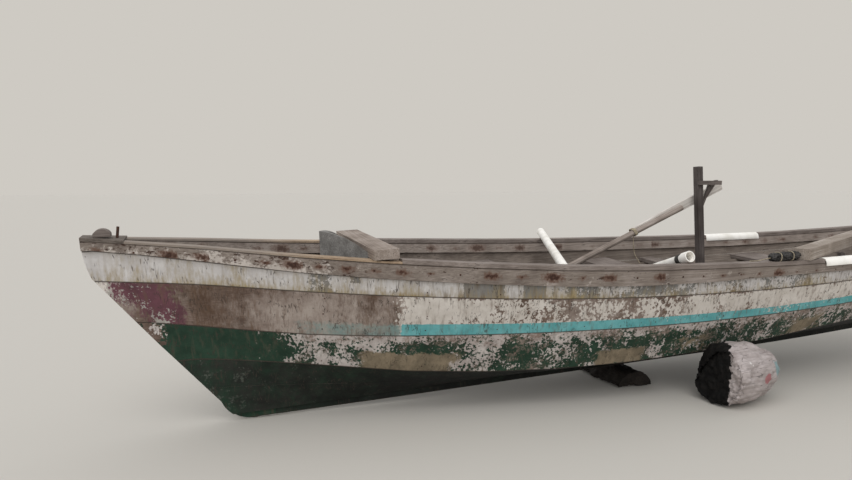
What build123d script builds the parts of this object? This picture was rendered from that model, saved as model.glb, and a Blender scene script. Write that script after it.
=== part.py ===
from build123d import *
import math
import os

# Wooden beach boat, plank on frame, drawn in millimetres in its own frame:
# x runs aft from the stem head, y to starboard, z up from the underside of the keel.
# The finished boat is then heeled and trimmed onto its two log props.

# Hull form
LENGTH = 7150            # stem head to the top of the transom
HALF_BEAM = 682          # to the outer face of the planking at the widest station
DEPTH = 800              # base line to the top of the planking amidships
PLANK_T = 24             # thickness of the hull planking
SEAM = 1.0               # open seam between two planks
FIT = 0.3                # clearance where one piece seats on another
BEYOND = 200             # how far a cutting shape reaches past what it cuts
HEEL = 2.5               # degrees, port side down
TRIM = 2.5               # degrees, stern up
# Backbone
KEEL_W = 56
KEEL_H = 75
STEM_FACE_W = 28         # width of the stem between the plank ends
STEM_DEPTH = 105         # stem timber, face to back
STEM_HEAD = 4            # how much deeper it is at the head
STEM_HOLLOW = (-14, 0, -10)  # bend of its back under the head
FOREFOOT_RISE = 40       # where its back leaves the forefoot
SCARF_RUN = 90           # forefoot to the joint with the keel
BAND_W = 30
BAND_T = 3
BAND_RUN = 2050          # how far the metal band runs back under the keel
BAND_START = 0.55        # its upper end, as a share of the stem's straight face from the head
ROCKER_X = 4500          # where the keel starts to lift towards the stern
ROCKER_R = 36000
TRANSOM_T = 30
KNEE_ARM = 330           # along the keel and up the transom
KNEE_W = 48
# Gunwale
RUB_T = 22               # rubbing strake outside the top plank
RUB_D = 103              # its depth amidships
INWALE_T = 20
INWALE_D = 72
INWALE_START = 30        # behind the bow block
CAP_FORE_T = 12
CAP_AFT_T = 26
CAP_LIP = 4              # how far a cap rail overhangs the timbers under it
CAP_JOINT_X = 1740       # where the thin fore cap meets the thick after cap
BOW_BLOCK_L = 230        # block across the stem head, between the fore caps
BOW_BLOCK_T = 20
# Frames, floors and thwarts
FRAME_W = 38
FRAME_DEPTH = 42
FRAME_DROP = 190         # frame heads stop this far below the gunwale
FLOOR_Z = 160            # top of the floor timbers
BOARD_W = 98
BOARD_T = 20
BOARD_GAP = 12
BOARD_COUNT = 4
BOARD_START = 80         # aft of the second frame
BOARD_CLEAR = 8          # inside the frames
BOARD_CUT = (60, 10, 30)  # room round the post step: fore, aft and aside of a board
RISER_T = 22
RISER_H = 60
RISER_FORE = 40          # ahead of the third frame
RISER_AFT = 120          # behind the ninth
RISER_PLANE = 4          # section plane ahead of its fore end
THWART_T = 30
THWART_DROP = 150        # thwart top below the gunwale
THWART_SEAT = 2          # lift that clears the riser's slope
# Beam laid across the bow, and the spray boards in front of it
BEAM_X = 1652            # at its port end
BEAM_TURN = 2.0          # degrees, starboard end forward
BEAM_W = 150
BEAM_T = 58
BEAM_OVERHANG = 14
SPRAY_T = 42
SPRAY_RUN = 215          # from the apex back to the beam
SPRAY_HEIGHT = 118       # apex above the gunwale
SPRAY_HANG = 60          # lower edge below the gunwale
SPRAY_END = 14           # height left above the gunwale where it meets the beam
SNUB_X = 113             # block and pin on the bow block
SNUB_L = 94
SNUB_W = 60
SNUB_H = 46
SNUB_SHOULDER = 0.4      # height of its ends, as a share of its crown
SNUB_OUT = 20            # to port of the centre line
PIN_X = 188
PIN_D = 16
PIN_L = 64
PIN_RAKE = 8             # degrees
# Post with its arm and braces
POST_X = 4266            # at the top of the keel
POST_W = 48
POST_H = 1326
POST_RAKE = 3.5            # degrees, head forward
ARM_T = 24
ARM_W = 30
ARM_L = 150              # arm aft of the post
ARM_DROP = 118           # arm below the post head
ARM_TILT = 6             # degrees, aft end down from square to the post
BRACE_T = 20
BRACE_W = 26
BRACE_FALL = 150         # foot of a brace below the arm
BRACE_REACH = (0.42, 0.86)  # where each meets the arm, as shares of ARM_L
STEP_L = 230
STEP_W = 130
STEP_H = 62
# Plastic pipes
PIPE_OD = 60
PIPE_WALL = 4
SLEEVE_OD = 89
SLEEVE_WALL = 5
SLEEVE_GAP = 6           # between a sleeve and the caps at its ends
SLEEVE_L = 530
SLEEVE_CLEAR = 3         # between the slot's edges and the timbers, over both sides
SLEEVE_SHIFT = 2         # slot's middle off the timbers' middle
SLEEVE_LIFT = 4          # over the bare gunwale
SLEEVE_LIP = 8           # edges of the slot below the gunwale's corners
COUPLING_OD = 73
COUPLING_L = 62
COUPLING_OUT = 10        # its mouth past the cap's inner edge
COUPLING_CLEAR = 8       # over the cap
PIPE_ENTRY = 18          # pipe's end inside the coupling's mouth
WRAP_NEAR = 18           # lashing behind the coupling, near and far edge
WRAP_FAR = 60
HOLDER_X = 3618
HOLDER_RISE = 20.7       # degrees
LEAN_NEAR_X = 2765
LEAN_FAR_X = 3240
LEAN_PAST = 170          # end of the leaning pipe beyond the far rail
LEAN_CLEAR = 6
LEAN_TUCK = 26           # near end inboard of the port inwale, and below the gunwale
LEAN_DROP = 8
PIPE_PLUG = 30           # stopped end of the leaning pipe
# Oar
OAR_D = 42
OAR_L = 2760
OAR_SLOPE = 21.2         # degrees above the keel line
BLADE_L = 850
BLADE_LAP = 445          # shaft end beyond the blade's middle
BLADE_W = 66
BLADE_NECK = 46
BLADE_T = 20
BLADE_TAPER = (120, 420)  # where the blade starts to widen, and where it is full
OAR_HEEL = 60            # lower end that is slid to its rest
LASH_T = 5
LASH_L = 30
LASH_PAST = 12           # turns below the end of the blade
CORD_D = 6
# Pad and loose plank on the gunwale
PAD_X = 4363
PAD_L = 245
PAD_CROWN = 58           # top of the pad above the cap
PAD_SHOULDER = 0.4       # height of its sides, as a share of its crown
PAD_LIP = 4              # overhang on both sides together
PLANK_LEN = 2670
PLANK_W = 110
PLANK_TH = 75
PLANK_TURN = 23.4        # degrees, across the boat
PLANK_IN = 6             # near end inboard of the planking's face
# Logs under the boat
DARK_X = 3520
DARK_R = 150
DARK_L = 640
DARK_OUT = 190           # near end to port of the keel's side
WHITE_X = 4022
WHITE_R = 214
WHITE_L = 500
WHITE_TURN = 8           # degrees, aft end away to starboard
WHITE_BEDDED = 14        # lower side under the ground

# Lines of the planking. Each row is one station: its place as a share of LENGTH, then
# half breadth (share of HALF_BEAM) and height (share of DEPTH) of the sheer, the seam under
# the top strake, the seam under the middle strake and the chine.
LINES = [
    (0.084, 0.246, 1.395, 0.213, 1.122, 0.144, 0.798, 0.062, 0.528),
    (0.168, 0.493, 1.298, 0.452, 1.037, 0.361, 0.696, 0.227, 0.434),
    (0.280, 0.774, 1.190, 0.733, 0.943, 0.633, 0.630, 0.472, 0.300),
    (0.420, 0.956, 1.078, 0.924, 0.847, 0.843, 0.579, 0.689, 0.240),
    (0.560, 1.000, 1.005, 0.969, 0.788, 0.894, 0.544, 0.751, 0.258),
    (0.700, 0.953, 0.951, 0.921, 0.764, 0.843, 0.538, 0.701, 0.316),
    (0.840, 0.828, 0.940, 0.795, 0.783, 0.718, 0.563, 0.587, 0.376),
    (1.000, 0.623, 0.972, 0.589, 0.825, 0.521, 0.618, 0.418, 0.437),
]
# Heights at which the same four lines end on the stem, as shares of DEPTH
STEM_ENDS = (1.4775, 1.181, 0.862, 0.530)
GARBOARD_END = 0.05
GARBOARD_Z = 45          # lower edge of the garboard above the keel's underside
# Face of the stem: place (share of LENGTH) and height (share of DEPTH), head to forefoot
STEM_FACE = [
    (0.0, 1.4925), (0.0068, 1.174), (0.0348, 0.8525), (0.0965, 0.169), (0.1095, 0.031),
    (0.1290, 0.0),
]
# Planes of the lofted sections: place at the base line as a share of LENGTH, and rake, the
# run forward for each unit of height. They lie along the stem, then turn upright.
PLANES = [
    (0.1091, 0.771), (0.1169, 0.700), (0.1378, 0.620), (0.1706, 0.520), (0.2154, 0.400),
    (0.2671, 0.270), (0.3245, 0.130), (0.3846, 0.0), (0.4545, 0.0), (0.5315, 0.0),
    (0.6154, 0.0), (0.6993, 0.0), (0.7832, 0.0), (0.8811, 0.0), (0.9780, -0.2),
]
# Rubbing strake: place (share of LENGTH) and depth (share of RUB_D)
RUB_TAPER = [
    (0.0, 0.54), (0.045, 0.62), (0.095, 0.80), (0.16, 0.92), (0.30, 0.99), (0.455, 1.0),
    (0.53, 0.88), (0.615, 0.68), (1.0, 0.60),
]
# Frames: places of their fore sides as shares of LENGTH
FRAMES = [0.182, 0.266, 0.327, 0.406, 0.476, 0.550, 0.621, 0.683, 0.766, 0.853]
# Butts of each strake's lengths, as shares of LENGTH, staggered from strake to strake
BUTTS = {
    "strake_top": (0.356, 0.700), "strake_middle": (0.296, 0.640), "strake_lower": (0.416, 0.740),
    "bilge_plank": (0.336, 0.660), "garboard": (0.396, 0.716),
}
# Thwarts: place of the middle and fore-and-aft width
THWARTS = {"thwart_fore": (2610, 240), "thwart_mid": (3690, 240), "post_thwart": (4190, 110),
           "thwart_aft": (5170, 250)}
# Fore ends of the pipe sleeves on the gunwales
SLEEVES = {"port": 4700, "starboard": 4800}

os.makedirs("parts", exist_ok=True)


def hermite(xs, vs, x):
    """Smooth curve through the points, level with the end values outside them."""
    if x <= xs[0]:
        return vs[0]
    if x >= xs[-1]:
        return vs[-1]
    i = max(k for k in range(len(xs) - 1) if xs[k] <= x)

    def slope(k):
        if k == 0:
            return (vs[1] - vs[0]) / (xs[1] - xs[0])
        if k == len(xs) - 1:
            return (vs[-1] - vs[-2]) / (xs[-1] - xs[-2])
        return (vs[k + 1] - vs[k - 1]) / (xs[k + 1] - xs[k - 1])

    h = xs[i + 1] - xs[i]
    t = (x - xs[i]) / h
    return ((2 * t**3 - 3 * t**2 + 1) * vs[i] + (t**3 - 2 * t**2 + t) * h * slope(i)
            + (3 * t**2 - 2 * t**3) * vs[i + 1] + (t**3 - t**2) * h * slope(i + 1))


def stem_x(z):
    """Place of the stem's face at one height."""
    pts = [(LENGTH * a, DEPTH * b) for a, b in STEM_FACE]
    for (xa, za), (xb, zb) in zip(pts, pts[1:]):
        if z >= zb:
            return xa + (xb - xa) * (za - z) / (za - zb)
    return pts[-1][0]


def rise(x):
    """Lift of the keel's underside."""
    return max(0.0, x - ROCKER_X) ** 2 / (2 * ROCKER_R)


FRONT_HALF = STEM_FACE_W / 2 + PLANK_T + FIT
SHEER, TOP_SEAM, LOW_SEAM, CHINE, BILGE, GARBOARD = range(6)


def line(name, x):
    """Half breadth and height of one planking line at x, on the outer face."""
    if name <= CHINE:
        z0 = DEPTH * STEM_ENDS[name]
        xs = [stem_x(z0)] + [LENGTH * row[0] for row in LINES]
        ys = [FRONT_HALF] + [HALF_BEAM * row[1 + 2 * name] for row in LINES]
        zs = [z0] + [DEPTH * row[2 + 2 * name] for row in LINES]
        return hermite(xs, ys, x), hermite(xs, zs, x)
    z0 = DEPTH * GARBOARD_END
    return 0.0, max(GARBOARD_Z + rise(x), z0 if x < stem_x(z0) else 0)


def on_plane(name, plane):
    """Point of a planking line on one section plane, as in-plane y and height z."""
    a, rake = LENGTH * plane[0], plane[1]
    z = line(name, a)[1]
    for _ in range(30):
        z = 0.5 * z + 0.5 * line(name, a - rake * z)[1]
    return line(name, a - rake * z)[0], z


NARROW_X = LENGTH * PLANES[0][0]     # the backbone is as narrow as the stem's face here
FULL_X = LENGTH * PLANES[5][0]       # and has the keel's full width from here aft


def siding(x):
    """Half width of the backbone at one place."""
    s = min(1.0, max(0.0, (x - NARROW_X) / (FULL_X - NARROW_X)))
    return STEM_FACE_W / 2 * (1 - s) + KEEL_W / 2 * s


def outer_points(i):
    """The six outer points of section i, sheer to garboard."""
    pts = [on_plane(k, PLANES[i]) for k in range(4)]
    yc, zc = pts[CHINE]
    zg = on_plane(GARBOARD, PLANES[i])[1]
    half = siding(LENGTH * PLANES[i][0] - PLANES[i][1] * zg) + 2 * FIT
    yg = half + PLANK_T * 0.5
    for _ in range(12):
        n = math.hypot(zc - zg, yc - yg)
        yg = half + PLANK_T * (zc - zg) / n
    mid = ((yc + yg) / 2 + 3, (zc + zg) / 2 - 5)
    return pts + [mid, (yg, zg)]


OUTER = [outer_points(i) for i in range(len(PLANES))]


def edge_normal(i, k):
    """Unit outward normal, in section i, of the plank below line k."""
    (ya, za), (yb, zb) = OUTER[i][k], OUTER[i][k + 1]
    n = math.hypot(yb - ya, zb - za)
    return (za - zb) / n, (yb - ya) / n


def tilt(i, k):
    """How much longer a plank's section is than its thickness, since it runs at an angle."""
    j = min(max(i, 1), len(PLANES) - 2)
    (ya, za), (yb, zb) = OUTER[j - 1][k], OUTER[j + 1][k]
    xa = LENGTH * PLANES[j - 1][0] - PLANES[j - 1][1] * za
    xb = LENGTH * PLANES[j + 1][0] - PLANES[j + 1][1] * zb
    n = edge_normal(i, min(k, GARBOARD - 1))
    return math.hypot(1, ((yb - ya) * n[0] + (zb - za) * n[1]) / (xb - xa))


def inward(i, k, depth):
    """Point of section i under line k, at a depth inside the outer face."""
    y, z = OUTER[i][k]
    if k == SHEER:
        n = edge_normal(i, k)
        return y - depth * tilt(i, k) / n[0], z
    if k == GARBOARD:
        n = edge_normal(i, k - 1)
        return y - depth * tilt(i, k) * n[0], z - depth * tilt(i, k) * n[1]
    na, nb = edge_normal(i, k - 1), edge_normal(i, k)
    f = depth * tilt(i, k) / (1 + na[0] * nb[0] + na[1] * nb[1])
    return y - f * (na[0] + nb[0]), z - f * (na[1] + nb[1])


def spot(i, yz, side=1):
    """Section point as a point of the boat."""
    return Vector(LENGTH * PLANES[i][0] - PLANES[i][1] * yz[1], side * yz[0], yz[1])


def strip(polygon, side, first=0, last=len(PLANES) - 1):
    """Lofts a polygon given for each section plane, polygon(i) being a list of (y, z)."""
    wires = []
    for i in range(first, last + 1):
        pts = [spot(i, p, side) for p in polygon(i)]
        wires.append(Wire.make_polygon(pts, close=True))
    return Solid.make_loft(wires, ruled=True)


def toward(p, q, d):
    """Point at distance d from p on the way to q."""
    f = d / math.hypot(q[0] - p[0], q[1] - p[1])
    return p[0] + (q[0] - p[0]) * f, p[1] + (q[1] - p[1]) * f


def plank(k, side):
    """One strake between planking lines k and k + 1."""
    def polygon(i):
        a, b = OUTER[i][k], OUTER[i][k + 1]
        c, d = inward(i, k + 1, PLANK_T), inward(i, k, PLANK_T)
        ga = 0 if k == SHEER else SEAM / 2
        gb = 0 if k + 1 == GARBOARD else SEAM / 2
        return [toward(a, b, ga), toward(b, a, gb), toward(c, d, gb), toward(d, c, ga)]
    return strip(polygon, side)


def interior(depth):
    """Space inside the planking, from a depth under its outer face."""
    wires = []
    for i in range(len(PLANES)):
        half = [inward(i, k, depth) for k in range(6)]
        half = [(max(0.5, y), z) for y, z in half]
        pts = [spot(i, p) for p in half] + [spot(i, p, -1) for p in reversed(half)]
        wires.append(Wire.make_polygon(pts, close=True))
    return Solid.make_loft(wires, ruled=True)


def section(x, depth):
    """Half section of the hull at x, a depth inside the outer face, gunwale to keel."""
    rows = []
    for i in range(len(PLANES)):
        half = [inward(i, k, depth) for k in range(6)]
        rows.append([(LENGTH * PLANES[i][0] - PLANES[i][1] * p[1], p[0], p[1]) for p in half])
    points = []
    for k in range(6):
        for ra, rb in zip(rows, rows[1:]):
            (xa, ya, za), (xb, yb, zb) = ra[k], rb[k]
            if xa <= x < xb:
                f = (x - xa) / (xb - xa)
                points.append((max(0.5, ya + (yb - ya) * f), za + (zb - za) * f))
    return points


def core(x, width, depth):
    """What a frame of that depth leaves open inside it, round the place x."""
    wires = []
    for xs in (x - width, x + width):
        half = section(xs, depth)
        ring = half + [(-y, z) for y, z in reversed(half)]
        wires.append(Wire.make_polygon([Vector(xs, y, z) for y, z in ring], close=True))
    return Solid.make_loft(wires, ruled=True)


def block(x0, x1, y0, y1, z0, z1):
    """Box between three pairs of coordinates."""
    return Pos((x0 + x1) / 2, (y0 + y1) / 2, (z0 + z1) / 2) * Box(x1 - x0, y1 - y0, z1 - z0)


def sheer_at(x):
    return line(SHEER, x)


def settle(shape, direction, neighbours):
    """Moves a piece along a direction until it lies one fit away from what stops it."""
    way = Vector(*direction).normalized()
    for _ in range(40):
        gap = min(shape.distance_to(other) for other in neighbours) - FIT
        if gap < 0.02:
            break
        shape = Pos(*(way * gap)) * shape
    return shape


def between(shape, x0, x1):
    """Keeps what lies between two upright planes."""
    return shape & block(x0, x1, -2 * HALF_BEAM, 2 * HALF_BEAM, -500, 3 * DEPTH)


def together(shapes):
    """One node from several pieces that don't touch."""
    return Compound(children=[solid for shape in shapes for solid in shape.solids()])


PORT, STARBOARD = -1, 1
SIDES = {"port": PORT, "starboard": STARBOARD}
parts = {}

# Profile of stem and forefoot, in the centre plane
face = [Vector(LENGTH * a, 0, DEPTH * b) for a, b in STEM_FACE]
bow_arc = ThreePointArc(face[0], face[1], face[2])
rake_line = Line(face[2], face[3])
forefoot = ThreePointArc(face[3], face[4], face[5])
back = (face[3] - face[2]).normalized()
normal = Vector(-back.Z, 0, back.X) * (-1 if back.X < 0 else 1)
stem_back_low = face[3] + normal * STEM_DEPTH - back * FOREFOOT_RISE
stem_back_high = face[2] + normal * STEM_DEPTH
scarf = Vector(face[5].X + SCARF_RUN, 0, KEEL_H)
stem_top = Vector(STEM_DEPTH + STEM_HEAD, 0, face[0].Z)
stem_outline = [
    bow_arc, rake_line, forefoot,
    Line(face[5], Vector(scarf.X, 0, 0)), Line(Vector(scarf.X, 0, 0), scarf),
    Line(scarf, stem_back_low), Line(stem_back_low, stem_back_high),
    ThreePointArc(stem_back_high, (stem_back_high + stem_top) / 2 + Vector(*STEM_HOLLOW), stem_top),
    Line(stem_top, face[0]),
]


def slab(edges, half):
    """Closed outline in the centre plane, as thick as twice the half width."""
    return extrude(make_face(edges), amount=half, both=True)


stem_wide = slab(stem_outline, HALF_BEAM / 2)
stem_web = slab(stem_outline, STEM_FACE_W / 2 - FIT)
hold = interior(PLANK_T + FIT)
ahead = slab([
    bow_arc, rake_line, forefoot,
    Line(face[5], face[5] + Vector(0, 0, -BEYOND)),
    Line(face[5] + Vector(0, 0, -BEYOND), Vector(-BEYOND, 0, -BEYOND)),
    Line(Vector(-BEYOND, 0, -BEYOND), Vector(-BEYOND, 0, face[0].Z + BEYOND)),
    Line(Vector(-BEYOND, 0, face[0].Z + BEYOND), face[0] + Vector(0, 0, BEYOND)),
    Line(face[0] + Vector(0, 0, BEYOND), face[0]),
], HALF_BEAM / 2)
stem_foot = stem_web & block(-BEYOND, 2 * FULL_X, -KEEL_W, KEEL_W, -BEYOND, 4 * KEEL_H)
parts["stem"] = (stem_wide & hold) + stem_foot

# Keel, with its lift towards the stern, and the metal band over the forefoot
aft_x = LENGTH * PLANES[-1][0] - PLANES[-1][1] * GARBOARD_Z
rock_mid = (ROCKER_X + aft_x) / 2
keel_face = make_face([
    Line((scarf.X + FIT, 0, 0), (ROCKER_X, 0, 0)),
    ThreePointArc((ROCKER_X, 0, 0), (rock_mid, 0, rise(rock_mid)), (aft_x, 0, rise(aft_x))),
    Line((aft_x, 0, rise(aft_x)), (aft_x, 0, rise(aft_x) + KEEL_H)),
    ThreePointArc((aft_x, 0, rise(aft_x) + KEEL_H), (rock_mid, 0, rise(rock_mid) + KEEL_H),
                  (ROCKER_X, 0, KEEL_H)),
    Line((ROCKER_X, 0, KEEL_H), (scarf.X + FIT, 0, KEEL_H)),
    Line((scarf.X + FIT, 0, KEEL_H), (scarf.X + FIT, 0, 0)),
])
keel = extrude(keel_face, amount=KEEL_W / 2, both=True)
for side in SIDES.values():
    taper = make_face(Polyline(
        (scarf.X - 1, side * siding(scarf.X - 1)), (FULL_X, side * siding(FULL_X)),
        (FULL_X, side * KEEL_W), (scarf.X - 1, side * KEEL_W), close=True))
    keel -= Pos(0, 0, -BEYOND) * extrude(taper, amount=KEEL_H + 2 * BEYOND)
parts["keel"] = keel
keel_room = extrude(keel_face, amount=KEEL_W / 2 + FIT, both=True)
keel_room = keel_room + Pos(0, 0, FIT) * keel_room
band_top = face[2] + (face[3] - face[2]) * BAND_START
out = Vector(-normal.X, 0, -normal.Z)
near_band = [band_top + out * FIT, face[3] + out * FIT]
far_band = [band_top + out * (FIT + BAND_T), face[3] + out * (FIT + BAND_T)]
mid_out = Vector(-0.55, 0, -0.835)
band_end = face[5] + Vector(BAND_RUN, 0, 0)
down = Vector(0, 0, -1)
parts["keel_band"] = slab([
    Line(near_band[0], near_band[1]),
    ThreePointArc(near_band[1], face[4] + mid_out * FIT, face[5] + down * FIT),
    Line(face[5] + down * FIT, band_end + down * FIT),
    Line(band_end + down * FIT, band_end + down * (FIT + BAND_T)),
    Line(band_end + down * (FIT + BAND_T), face[5] + down * (FIT + BAND_T)),
    ThreePointArc(face[5] + down * (FIT + BAND_T), face[4] + mid_out * (FIT + BAND_T), far_band[1]),
    Line(far_band[1], far_band[0]), Line(far_band[0], near_band[0]),
], BAND_W / 2)

# Planking
for side_name, side in SIDES.items():
    for k, (name, butts) in enumerate(BUTTS.items()):
        strake = plank(k, side) - ahead
        ends = [-LENGTH] + [LENGTH * share for share in butts] + [2 * LENGTH]
        lengths = [between(strake, xa + SEAM / 2, xb - SEAM / 2) for xa, xb in zip(ends, ends[1:])]
        parts[f"{name}_{side_name}"] = together(lengths)

# Transom, inside the plank ends, with a knee down to the keel
a_end, rake_end = LENGTH * PLANES[-1][0], PLANES[-1][1]
top_z = DEPTH * LINES[-1][2]


def transom_slab(x_shift, thick, z0, z1):
    pts = [(a_end - rake_end * z + x_shift - d, 0, z)
           for z, d in ((z0, 0), (z1, 0), (z1, thick), (z0, thick))]
    return slab([Line(pts[n], pts[(n + 1) % 4]) for n in range(4)], HALF_BEAM)


parts["transom"] = (transom_slab(0, TRANSOM_T, -BEYOND, top_z + BEYOND) & hold) - keel_room
knee_x = a_end - TRANSOM_T - FIT
keel_top = rise(knee_x) + KEEL_H + FIT
knee_pts = [
    (knee_x - KNEE_ARM, 0, rise(knee_x - KNEE_ARM) + KEEL_H + FIT),
    (knee_x - rake_end * keel_top, 0, keel_top),
    (knee_x - rake_end * (keel_top + KNEE_ARM), 0, keel_top + KNEE_ARM),
    (knee_x - 0.18 * KNEE_ARM, 0, keel_top + 0.36 * KNEE_ARM),
]
knee = slab([Line(knee_pts[n], knee_pts[(n + 1) % 4]) for n in range(4)], KNEE_W / 2)
parts["transom_knee"] = knee - keel_room


# Gunwale: rubbing strake outside, clamp inside, caps on top
def rub_depth(i):
    """Rubbing strake depth at section i."""
    share = spot(i, OUTER[i][SHEER]).X / LENGTH
    return RUB_D * hermite([a for a, _ in RUB_TAPER], [d for _, d in RUB_TAPER], share)


def rub(i):
    a, b = OUTER[i][SHEER], OUTER[i][TOP_SEAM]
    c = toward(a, b, rub_depth(i))
    t = tilt(i, SHEER)
    return [(a[0] + FIT * t, a[1]), (c[0] + FIT * t, c[1]), (c[0] + (FIT + RUB_T) * t, c[1]),
            (a[0] + (FIT + RUB_T) * t, a[1])]


def inwale(i):
    a, b = inward(i, SHEER, PLANK_T + FIT), inward(i, TOP_SEAM, PLANK_T + FIT)
    c = toward(a, b, INWALE_D)
    t = tilt(i, SHEER) * INWALE_T
    return [a, c, (c[0] - t, c[1]), (a[0] - t, a[1])]


def cap(z0, z1, solid_deck=False):
    """Cap rail section between two heights above the sheer."""
    def polygon(i):
        t = tilt(i, SHEER)
        y_out = OUTER[i][SHEER][0] + (FIT + RUB_T) * t + CAP_LIP
        y_in = inward(i, SHEER, PLANK_T + FIT)[0] - INWALE_T * t - CAP_LIP
        z = OUTER[i][SHEER][1]
        if solid_deck:
            y_in = -y_out
        return [(y_out, z + z0), (y_out, z + z1), (y_in, z + z1), (y_in, z + z0)]
    return polygon


for side_name, side in SIDES.items():
    rubber = strip(rub, side) - ahead
    parts[f"rub_rail_{side_name}"] = rubber
    clamp = between(strip(inwale, side), BOW_BLOCK_L + INWALE_START, LENGTH + BEYOND)
    clamp = clamp - transom_slab(BEYOND + FIT, TRANSOM_T + 2 * FIT + BEYOND, -BEYOND, top_z + BEYOND)
    parts[f"inwale_{side_name}"] = clamp
    fore = strip(cap(FIT, CAP_FORE_T), side)
    aft = strip(cap(FIT, CAP_AFT_T), side)
    parts[f"cap_fore_{side_name}"] = between(fore, BOW_BLOCK_L + SEAM, CAP_JOINT_X - SEAM)
    sleeve_x = SLEEVES[side_name]
    parts[f"cap_mid_{side_name}"] = between(aft, CAP_JOINT_X, sleeve_x - SLEEVE_GAP)
    parts[f"cap_stern_{side_name}"] = between(aft, sleeve_x + SLEEVE_L + SLEEVE_GAP, 2 * LENGTH)
parts["bow_block"] = between(strip(cap(FIT, BOW_BLOCK_T, True), STARBOARD), -BEYOND, BOW_BLOCK_L) - ahead

# Frames: floor timbers across the keel, with a side piece bolted beside each end
FRAME_XS = [LENGTH * share for share in FRAMES]
floors, ribs = [], {PORT: [], STARBOARD: []}
for x in FRAME_XS:
    low_z = rise(x + FRAME_W) + KEEL_H + FIT
    floors.append(hold & block(x, x + FRAME_W, -HALF_BEAM, HALF_BEAM, low_z, FLOOR_Z + rise(x)))
    x1 = x + FRAME_W + FIT
    piece = hold & block(x1, x1 + FRAME_W, KEEL_W, HALF_BEAM + BEYOND, 0, sheer_at(x)[1] - FRAME_DROP)
    piece = piece - core(x1 + FRAME_W / 2, FRAME_W, PLANK_T + FRAME_DEPTH)
    ribs[STARBOARD].append(piece)
    ribs[PORT].append(piece.mirror(Plane.XZ))
parts["floor_timbers"] = together(floors)
parts["ribs_port"] = together(ribs[PORT])
parts["ribs_starboard"] = together(ribs[STARBOARD])

# Bottom boards on the floor timbers
well = interior(PLANK_T + FRAME_DEPTH + BOARD_CLEAR)
boards_x0, boards_x1 = FRAME_XS[1] + BOARD_START, FRAME_XS[7] - BOARD_GAP
boards = []
for n in range(BOARD_COUNT):
    y0 = (n - BOARD_COUNT / 2) * (BOARD_W + BOARD_GAP) + BOARD_GAP / 2
    board = block(boards_x0, boards_x1, y0, y0 + BOARD_W, FLOOR_Z + FIT, FLOOR_Z + FIT + BOARD_T)
    boards.append(board & well)
parts["bottom_boards"] = together(boards)


# Risers along the frames carry the thwarts
def riser(i):
    depth = PLANK_T + FRAME_DEPTH + 2 * FIT
    rows = [inward(i, k, depth) for k in range(6)]
    z_top = OUTER[i][SHEER][1] - THWART_DROP - THWART_T

    def at(z):
        for (ya, za), (yb, zb) in zip(rows, rows[1:]):
            if zb <= z <= za:
                return yb + (ya - yb) * (z - zb) / (za - zb)
        return rows[0][0]

    y1, y2 = at(z_top), at(z_top - RISER_H)
    return [(y1, z_top), (y2, z_top - RISER_H), (y2 - RISER_T, z_top - RISER_H), (y1 - RISER_T, z_top)]


for side_name, side in SIDES.items():
    parts[f"riser_{side_name}"] = between(strip(riser, side, RISER_PLANE), FRAME_XS[2] - RISER_FORE,
                                         FRAME_XS[8] + RISER_AFT)

thwart_top = {}
for name, (x, width) in THWARTS.items():
    z1 = max(sheer_at(x - width / 2)[1], sheer_at(x + width / 2)[1]) - THWART_DROP + FIT + THWART_SEAT
    thwart_top[name] = z1
    seat = hold & block(x - width / 2, x + width / 2, -HALF_BEAM, HALF_BEAM, z1 - THWART_T, z1)
    parts[name] = seat

# Beam lying across the gunwales, turned a little about its port end
beam_half = sheer_at(BEAM_X)[0] + RUB_T + BEAM_OVERHANG
beam_place = Pos(BEAM_X, -beam_half, sheer_at(SPRAY_RUN)[1]) * Rot(0, 0, BEAM_TURN)
beam = beam_place * block(-BEAM_W / 2, BEAM_W / 2, 0, 2 * beam_half, 0, BEAM_T)
beam_seats = [parts[f"cap_{run}_{side}"] for run in ("fore", "mid") for side in SIDES]
parts["bow_beam"] = settle(beam, (0, 0, -1), beam_seats)
beam_z = parts["bow_beam"].bounding_box().min.Z
beam_room = beam_place * block(-BEAM_W / 2 - FIT, BEAM_W, -BEAM_W, 2 * beam_half + BEAM_W, -DEPTH, DEPTH)

# The spray boards stand on edge, from the centre line back to the fore side of the beam
for side_name, side in SIDES.items():
    y_end = sheer_at(BEAM_X - BEAM_W)[0] - PLANK_T - INWALE_T - 2 * CAP_LIP
    turn_run = math.tan(math.radians(BEAM_TURN)) * (side * y_end + beam_half)
    end_x = BEAM_X - BEAM_W / 2 - turn_run + SPRAY_T / 4
    apex_x = BEAM_X - BEAM_W / 2 - math.tan(math.radians(BEAM_TURN)) * beam_half - SPRAY_RUN
    run = math.hypot(end_x - apex_x, y_end)
    ux, uy = (end_x - apex_x) / run, y_end / run
    z_a = sheer_at(apex_x)[1] + SPRAY_HEIGHT
    z_e, z_low = beam_z + SPRAY_END, beam_z - SPRAY_HANG
    crown = Vector(apex_x + 0.62 * (end_x - apex_x), 0, z_e + 0.62 * (z_a - z_e))
    plan = make_face(Polyline(
        (apex_x, side * SEAM), (end_x, side * y_end), (end_x, side * (y_end - SPRAY_T / ux)),
        (apex_x + SPRAY_T / uy, side * SEAM), close=True))
    wall = extrude(plan, amount=2 * DEPTH)
    elevation = make_face([
        Line((apex_x - SPRAY_T, 0, z_a), (apex_x, 0, z_a)),
        ThreePointArc((apex_x, 0, z_a), crown, (end_x, 0, z_e)),
        Line((end_x, 0, z_e), (end_x, 0, z_low)), Line((end_x, 0, z_low), (apex_x - SPRAY_T, 0, z_low)),
        Line((apex_x - SPRAY_T, 0, z_low), (apex_x - SPRAY_T, 0, z_a))])
    parts[f"spray_board_{side_name}"] = (wall & extrude(elevation, amount=HALF_BEAM, both=True)) - beam_room

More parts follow.
